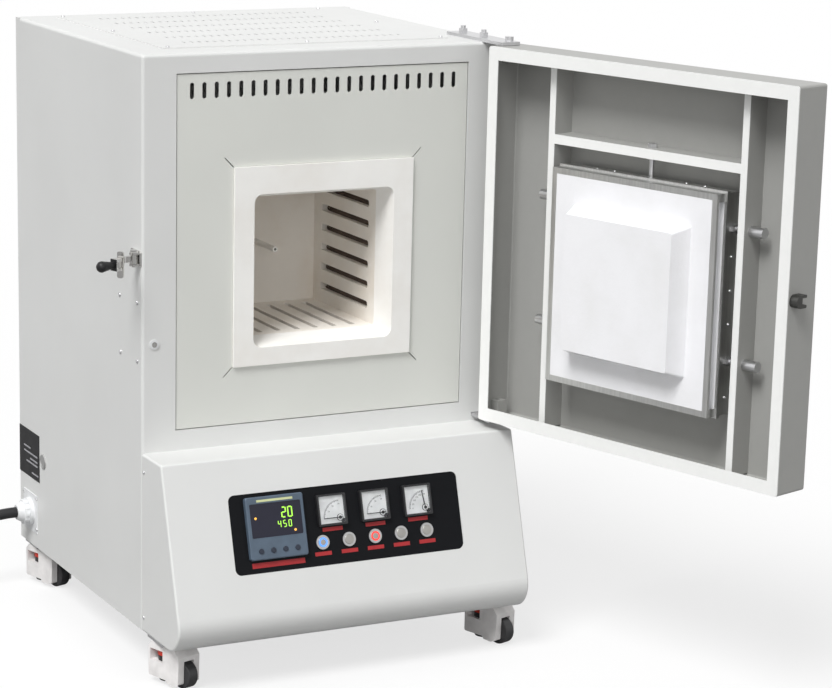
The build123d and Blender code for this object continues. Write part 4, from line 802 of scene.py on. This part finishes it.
BUTTON_FACE_PROFILE = [(4.6, -0.3), (4.6, 0.14), (4.2, 0.2), (0.4, 0.12)]
BUTTON_RING_PROFILE = [(7.3, -0.4), (7.3, 0.1), (4.8, 0.14), (4.8, -0.3)]
LIT_RINGS = {1: glow("blue_ring", (0.1, 0.3, 1.0), 1.2), 3: glow("red_ring", (1.0, 0.06, 0.05), 1.0)}


def button(number, x):
    top = slope(x, BUTTON_S, PANEL_FACE + BUTTON_PROUD)
    body = f"button_{number}"
    turned(f"button_face_{number}", top, BUTTON_FACE_PROFILE, 36, BUTTON, body, "button_metal")
    if number in LIT_RINGS:
        turned(f"button_ring_{number}", top, BUTTON_RING_PROFILE, 36, LIT_RINGS[number], body, "button_metal")


controller()
label_strips()
for number, (x, dial) in enumerate(zip(METERS, DIALS), 1):
    meter(number, x, *dial)
for number, x in enumerate(BUTTONS, 1):
    button(number, x)

# Heating coils in the wall and floor slots

COIL_COUNT = 6
WIRE_D = 1.8
WIRE_PITCH = 4.2
WIRE_STEPS = 10
WALL_COIL_R = 3.8
WALL_COIL_X = 107.7 + 11.5
WALL_COIL_Z = 620.25 - 1.4
WALL_COIL_PITCH = 32.4
WALL_COIL_Y = (70, 230)
FLOOR_COIL_R = 3.6
FLOOR_COIL_Z = 503.5
FLOOR_COIL_PITCH = 32.0
FLOOR_COIL_Y = (58, 238)


def helix(curve, start, end, radius, phase):
    """One coil of wire from start to end, as a spline of a curve."""
    along = end - start
    across = facing(along).to_3x3()
    count = int(along.length / (WIRE_PITCH / 1000) * WIRE_STEPS)
    spline = curve.splines.new("POLY")
    spline.points.add(count)
    for i in range(count + 1):
        a = 2 * math.pi * i / WIRE_STEPS + phase
        at = start + along * (i / count) + across @ (Vector((math.cos(a), math.sin(a), 0)) * (radius / 1000))
        spline.points[i].co = (*at, 1)


def heating_coils():
    coils = bpy.data.curves.new("element_coils", "CURVE")
    coils.dimensions = "3D"
    coils.bevel_depth = WIRE_D / 2000
    coils.bevel_resolution = 1
    steps = [(i, i - (COIL_COUNT - 1) / 2) for i in range(COIL_COUNT)]
    for side in (-1, 1):
        for i, step in steps:
            start, end = (P(side * WALL_COIL_X, y, WALL_COIL_Z + step * WALL_COIL_PITCH) for y in WALL_COIL_Y)
            helix(coils, start, end, WALL_COIL_R, i)
    for i, step in steps:
        start, end = (P(step * FLOOR_COIL_PITCH, y, FLOOR_COIL_Z) for y in FLOOR_COIL_Y)
        helix(coils, start, end, FLOOR_COIL_R, i)
    coils.materials.append(WIRE)
    piece = add_piece("element_coils", coils, "cabinet")
    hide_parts("heating_elements")


heating_coils()

# Cord: the route's own points, then the coil's turns, in one smooth line. The lead to the plug
# is given by its run past the coil's centre and its height

GLAND_END = -HALF_W - GLAND_PLATE_T - GLAND_FLANGE - GLAND_BODY - GLAND_DOME
COIL_CENTRE = (-673.5, 408.0)
CLIMB_START = 285.0
CLIMB_SPAN = 75.0
TURN_STEP = 30.0
TURN_STEPS = 30
PLUG_LEAD = ((45.0, 40.0), (85.0, 29.0), (PLUG_RUN, 18.0))
CORD_ROUTE = [(GLAND_END, GLAND_Y, GLAND_Z), (-363.0, GLAND_Y, GLAND_Z), (-402.0, 505.5, 113.1),
              (-435.4, 506.5, 83.0), (-464.4, 507.5, 48.6), (-500.0, 508.5, 26.3), (-540.7, 509.0, 15.0),
              (-580.5, 508.5, 9.0)]


def layer_height(degrees):
    """Height of the coil's line: each turn lies flat, then climbs onto the one below it."""
    turn, rest = divmod(degrees, 360.0)
    climb = min(1.0, max(0.0, (rest - CLIMB_START) / CLIMB_SPAN))
    return CORD_D / 2 + CORD_D * (turn + climb)


def cord_line():
    """Points of the whole cord, from the gland to the plug."""
    centre_x, centre_y = COIL_CENTRE
    line = list(CORD_ROUTE)
    for step in range(TURN_STEPS + 1):
        degrees = step * TURN_STEP
        a = math.radians(90 + degrees)
        line.append((centre_x + COIL_R * math.cos(a), centre_y + COIL_R * math.sin(a), layer_height(degrees)))
    line += [(centre_x + run, centre_y - COIL_R, height) for run, height in PLUG_LEAD]
    return line


def mains_cord():
    line = cord_line()
    curve = bpy.data.curves.new("mains_cord", "CURVE")
    curve.dimensions = "3D"
    curve.bevel_depth = CORD_D / 2000
    curve.bevel_resolution = 5
    curve.resolution_u = 8
    spline = curve.splines.new("NURBS")
    spline.points.add(len(line) - 1)
    for point, at in zip(spline.points, line):
        point.co = (*P(*at), 1)
    spline.order_u = 3
    spline.use_endpoint_u = True
    curve.materials.append(RUBBER)
    cord = add_piece("mains_cord", curve, "cabinet")
    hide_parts("power_cord", "cord_coil")
    blade_start = P(line[-1][0] + PLUG_NECK_L + PLUG_BODY_L, 0, 0)
    repaint("mains_plug", zoned("mains_plug", blade_start, (1, 0, 0), PLUG_RUBBER, PLUG_BRASS))


mains_cord()

# Floor, light and camera

WHITE = (1, 1, 1, 1)
ROOM_LIGHT = 0.45
FLOOR_REACH = 30.0
FLOOR_BOUNCE = (0.36, 0.36, 0.36, 1)
FLOOR_TONE = (0.88, 0.88, 0.88, 1)
FLOOR_SELF_LIT = 0.72


def white_room():
    """White world: full where the camera, a mirror or a window sees it, dimmer as a light."""
    world = bpy.data.worlds.new("studio")
    bpy.context.scene.world = world
    world.use_nodes = True
    tree = world.node_tree
    tree.nodes.clear()
    path = tree.nodes.new("ShaderNodeLightPath")
    seen = node(tree, "ShaderNodeMath", operation="MAXIMUM")
    tree.links.new(path.outputs["Is Camera Ray"], seen.inputs[0])
    shiny = node(tree, "ShaderNodeMath", operation="MAXIMUM")
    tree.links.new(path.outputs["Is Glossy Ray"], shiny.inputs[0])
    tree.links.new(path.outputs["Is Transmission Ray"], shiny.inputs[1])
    tree.links.new(shiny.outputs["Value"], seen.inputs[1])
    room = node(tree, "ShaderNodeBackground", Color=WHITE, Strength=ROOM_LIGHT)
    backdrop = node(tree, "ShaderNodeBackground", Color=WHITE, Strength=1.0)
    mix = tree.nodes.new("ShaderNodeMixShader")
    tree.links.new(seen.outputs["Value"], mix.inputs["Fac"])
    tree.links.new(room.outputs["Background"], mix.inputs[1])
    tree.links.new(backdrop.outputs["Background"], mix.inputs[2])
    world_out = tree.nodes.new("ShaderNodeOutputWorld")
    tree.links.new(mix.outputs["Shader"], world_out.inputs["Surface"])


def pale_floor():
    """Floor that shows nearly white with soft shadows, and throws back less light than it shows."""
    material = bpy.data.materials.new("floor")
    material.use_nodes = True
    tree = material.node_tree
    tree.nodes.clear()
    path = tree.nodes.new("ShaderNodeLightPath")
    lit = tree.nodes.new("ShaderNodeBsdfDiffuse")
    tone = node(tree, "ShaderNodeMix", data_type="RGBA")
    tree.links.new(path.outputs["Is Camera Ray"], tone.inputs[0])
    tone.inputs[6].default_value = FLOOR_BOUNCE
    tone.inputs[7].default_value = FLOOR_TONE
    tree.links.new(tone.outputs[2], lit.inputs["Color"])
    plain = node(tree, "ShaderNodeEmission", Color=WHITE, Strength=1.0)
    share = node(tree, "ShaderNodeMath", operation="MULTIPLY")
    share.inputs[1].default_value = FLOOR_SELF_LIT
    tree.links.new(path.outputs["Is Camera Ray"], share.inputs[0])
    mix = tree.nodes.new("ShaderNodeMixShader")
    tree.links.new(share.outputs["Value"], mix.inputs["Fac"])
    tree.links.new(lit.outputs["BSDF"], mix.inputs[1])
    tree.links.new(plain.outputs["Emission"], mix.inputs[2])
    floor_out = tree.nodes.new("ShaderNodeOutputMaterial")
    tree.links.new(mix.outputs["Shader"], floor_out.inputs["Surface"])
    mesh = bpy.data.meshes.new("floor")
    reach = FLOOR_REACH
    mesh.from_pydata([(-reach, -reach, 0), (reach, -reach, 0), (reach, reach, 0), (-reach, reach, 0)], [],
                     [(0, 1, 2, 3)])
    mesh.materials.append(material)
    floor = bpy.data.objects.new("floor", mesh)
    bpy.context.scene.collection.objects.link(floor)


def sun(name, toward, strength, angle):
    """Sun that stands in a direction, its disc as wide as an angle in degrees."""
    light = bpy.data.lights.new(name, "SUN")
    light.energy = strength
    light.angle = math.radians(angle)
    lamp = bpy.data.objects.new(name, light)
    lamp.rotation_euler = Vector(toward).to_track_quat("Z", "Y").to_euler()
    bpy.context.scene.collection.objects.link(lamp)


# The photograph's camera: where it stands and how it is turned, and, in the photograph's
# pixels, its focal length and the point that it looks at

CAMERA_AT = (-1823.5, -3811.9, 1440.3)
AZIMUTH = math.radians(-25.768)
ELEVATION = math.radians(13.910)
ROLL = math.radians(0.972)
PHOTO_W = 832.0
PHOTO_H = 688.0
FOCAL = 2790.6
CENTRE = (330.5, 409.2)
SENSOR_W = 36.0


def photo_camera():
    ahead = Vector((-math.sin(AZIMUTH) * math.cos(ELEVATION), math.cos(AZIMUTH) * math.cos(ELEVATION),
                    -math.sin(ELEVATION)))
    level = Vector((math.cos(AZIMUTH), math.sin(AZIMUTH), 0))
    upright = level.cross(ahead)
    across = level * math.cos(ROLL) + upright * math.sin(ROLL)
    upward = upright * math.cos(ROLL) - level * math.sin(ROLL)
    data = bpy.data.cameras.new("camera")
    data.sensor_width = SENSOR_W
    data.lens = FOCAL * SENSOR_W / PHOTO_W
    data.shift_x = (PHOTO_W / 2 - CENTRE[0]) / PHOTO_W
    data.shift_y = (CENTRE[1] - PHOTO_H / 2) / PHOTO_W
    data.clip_end = 100.0
    camera = bpy.data.objects.new("camera", data)
    turn = Matrix((across, upward, -ahead)).transposed().to_4x4()
    camera.matrix_world = Matrix.Translation(P(*CAMERA_AT)) @ turn
    bpy.context.scene.collection.objects.link(camera)
    bpy.context.scene.camera = camera


white_room()
pale_floor()
sun("key", (-0.5, -0.35, 0.8), 2.6, 25)
sun("fill", (-0.3, -0.9, 0.2), 0.36, 40)
photo_camera()
bpy.context.scene.view_settings.view_transform = "Standard"
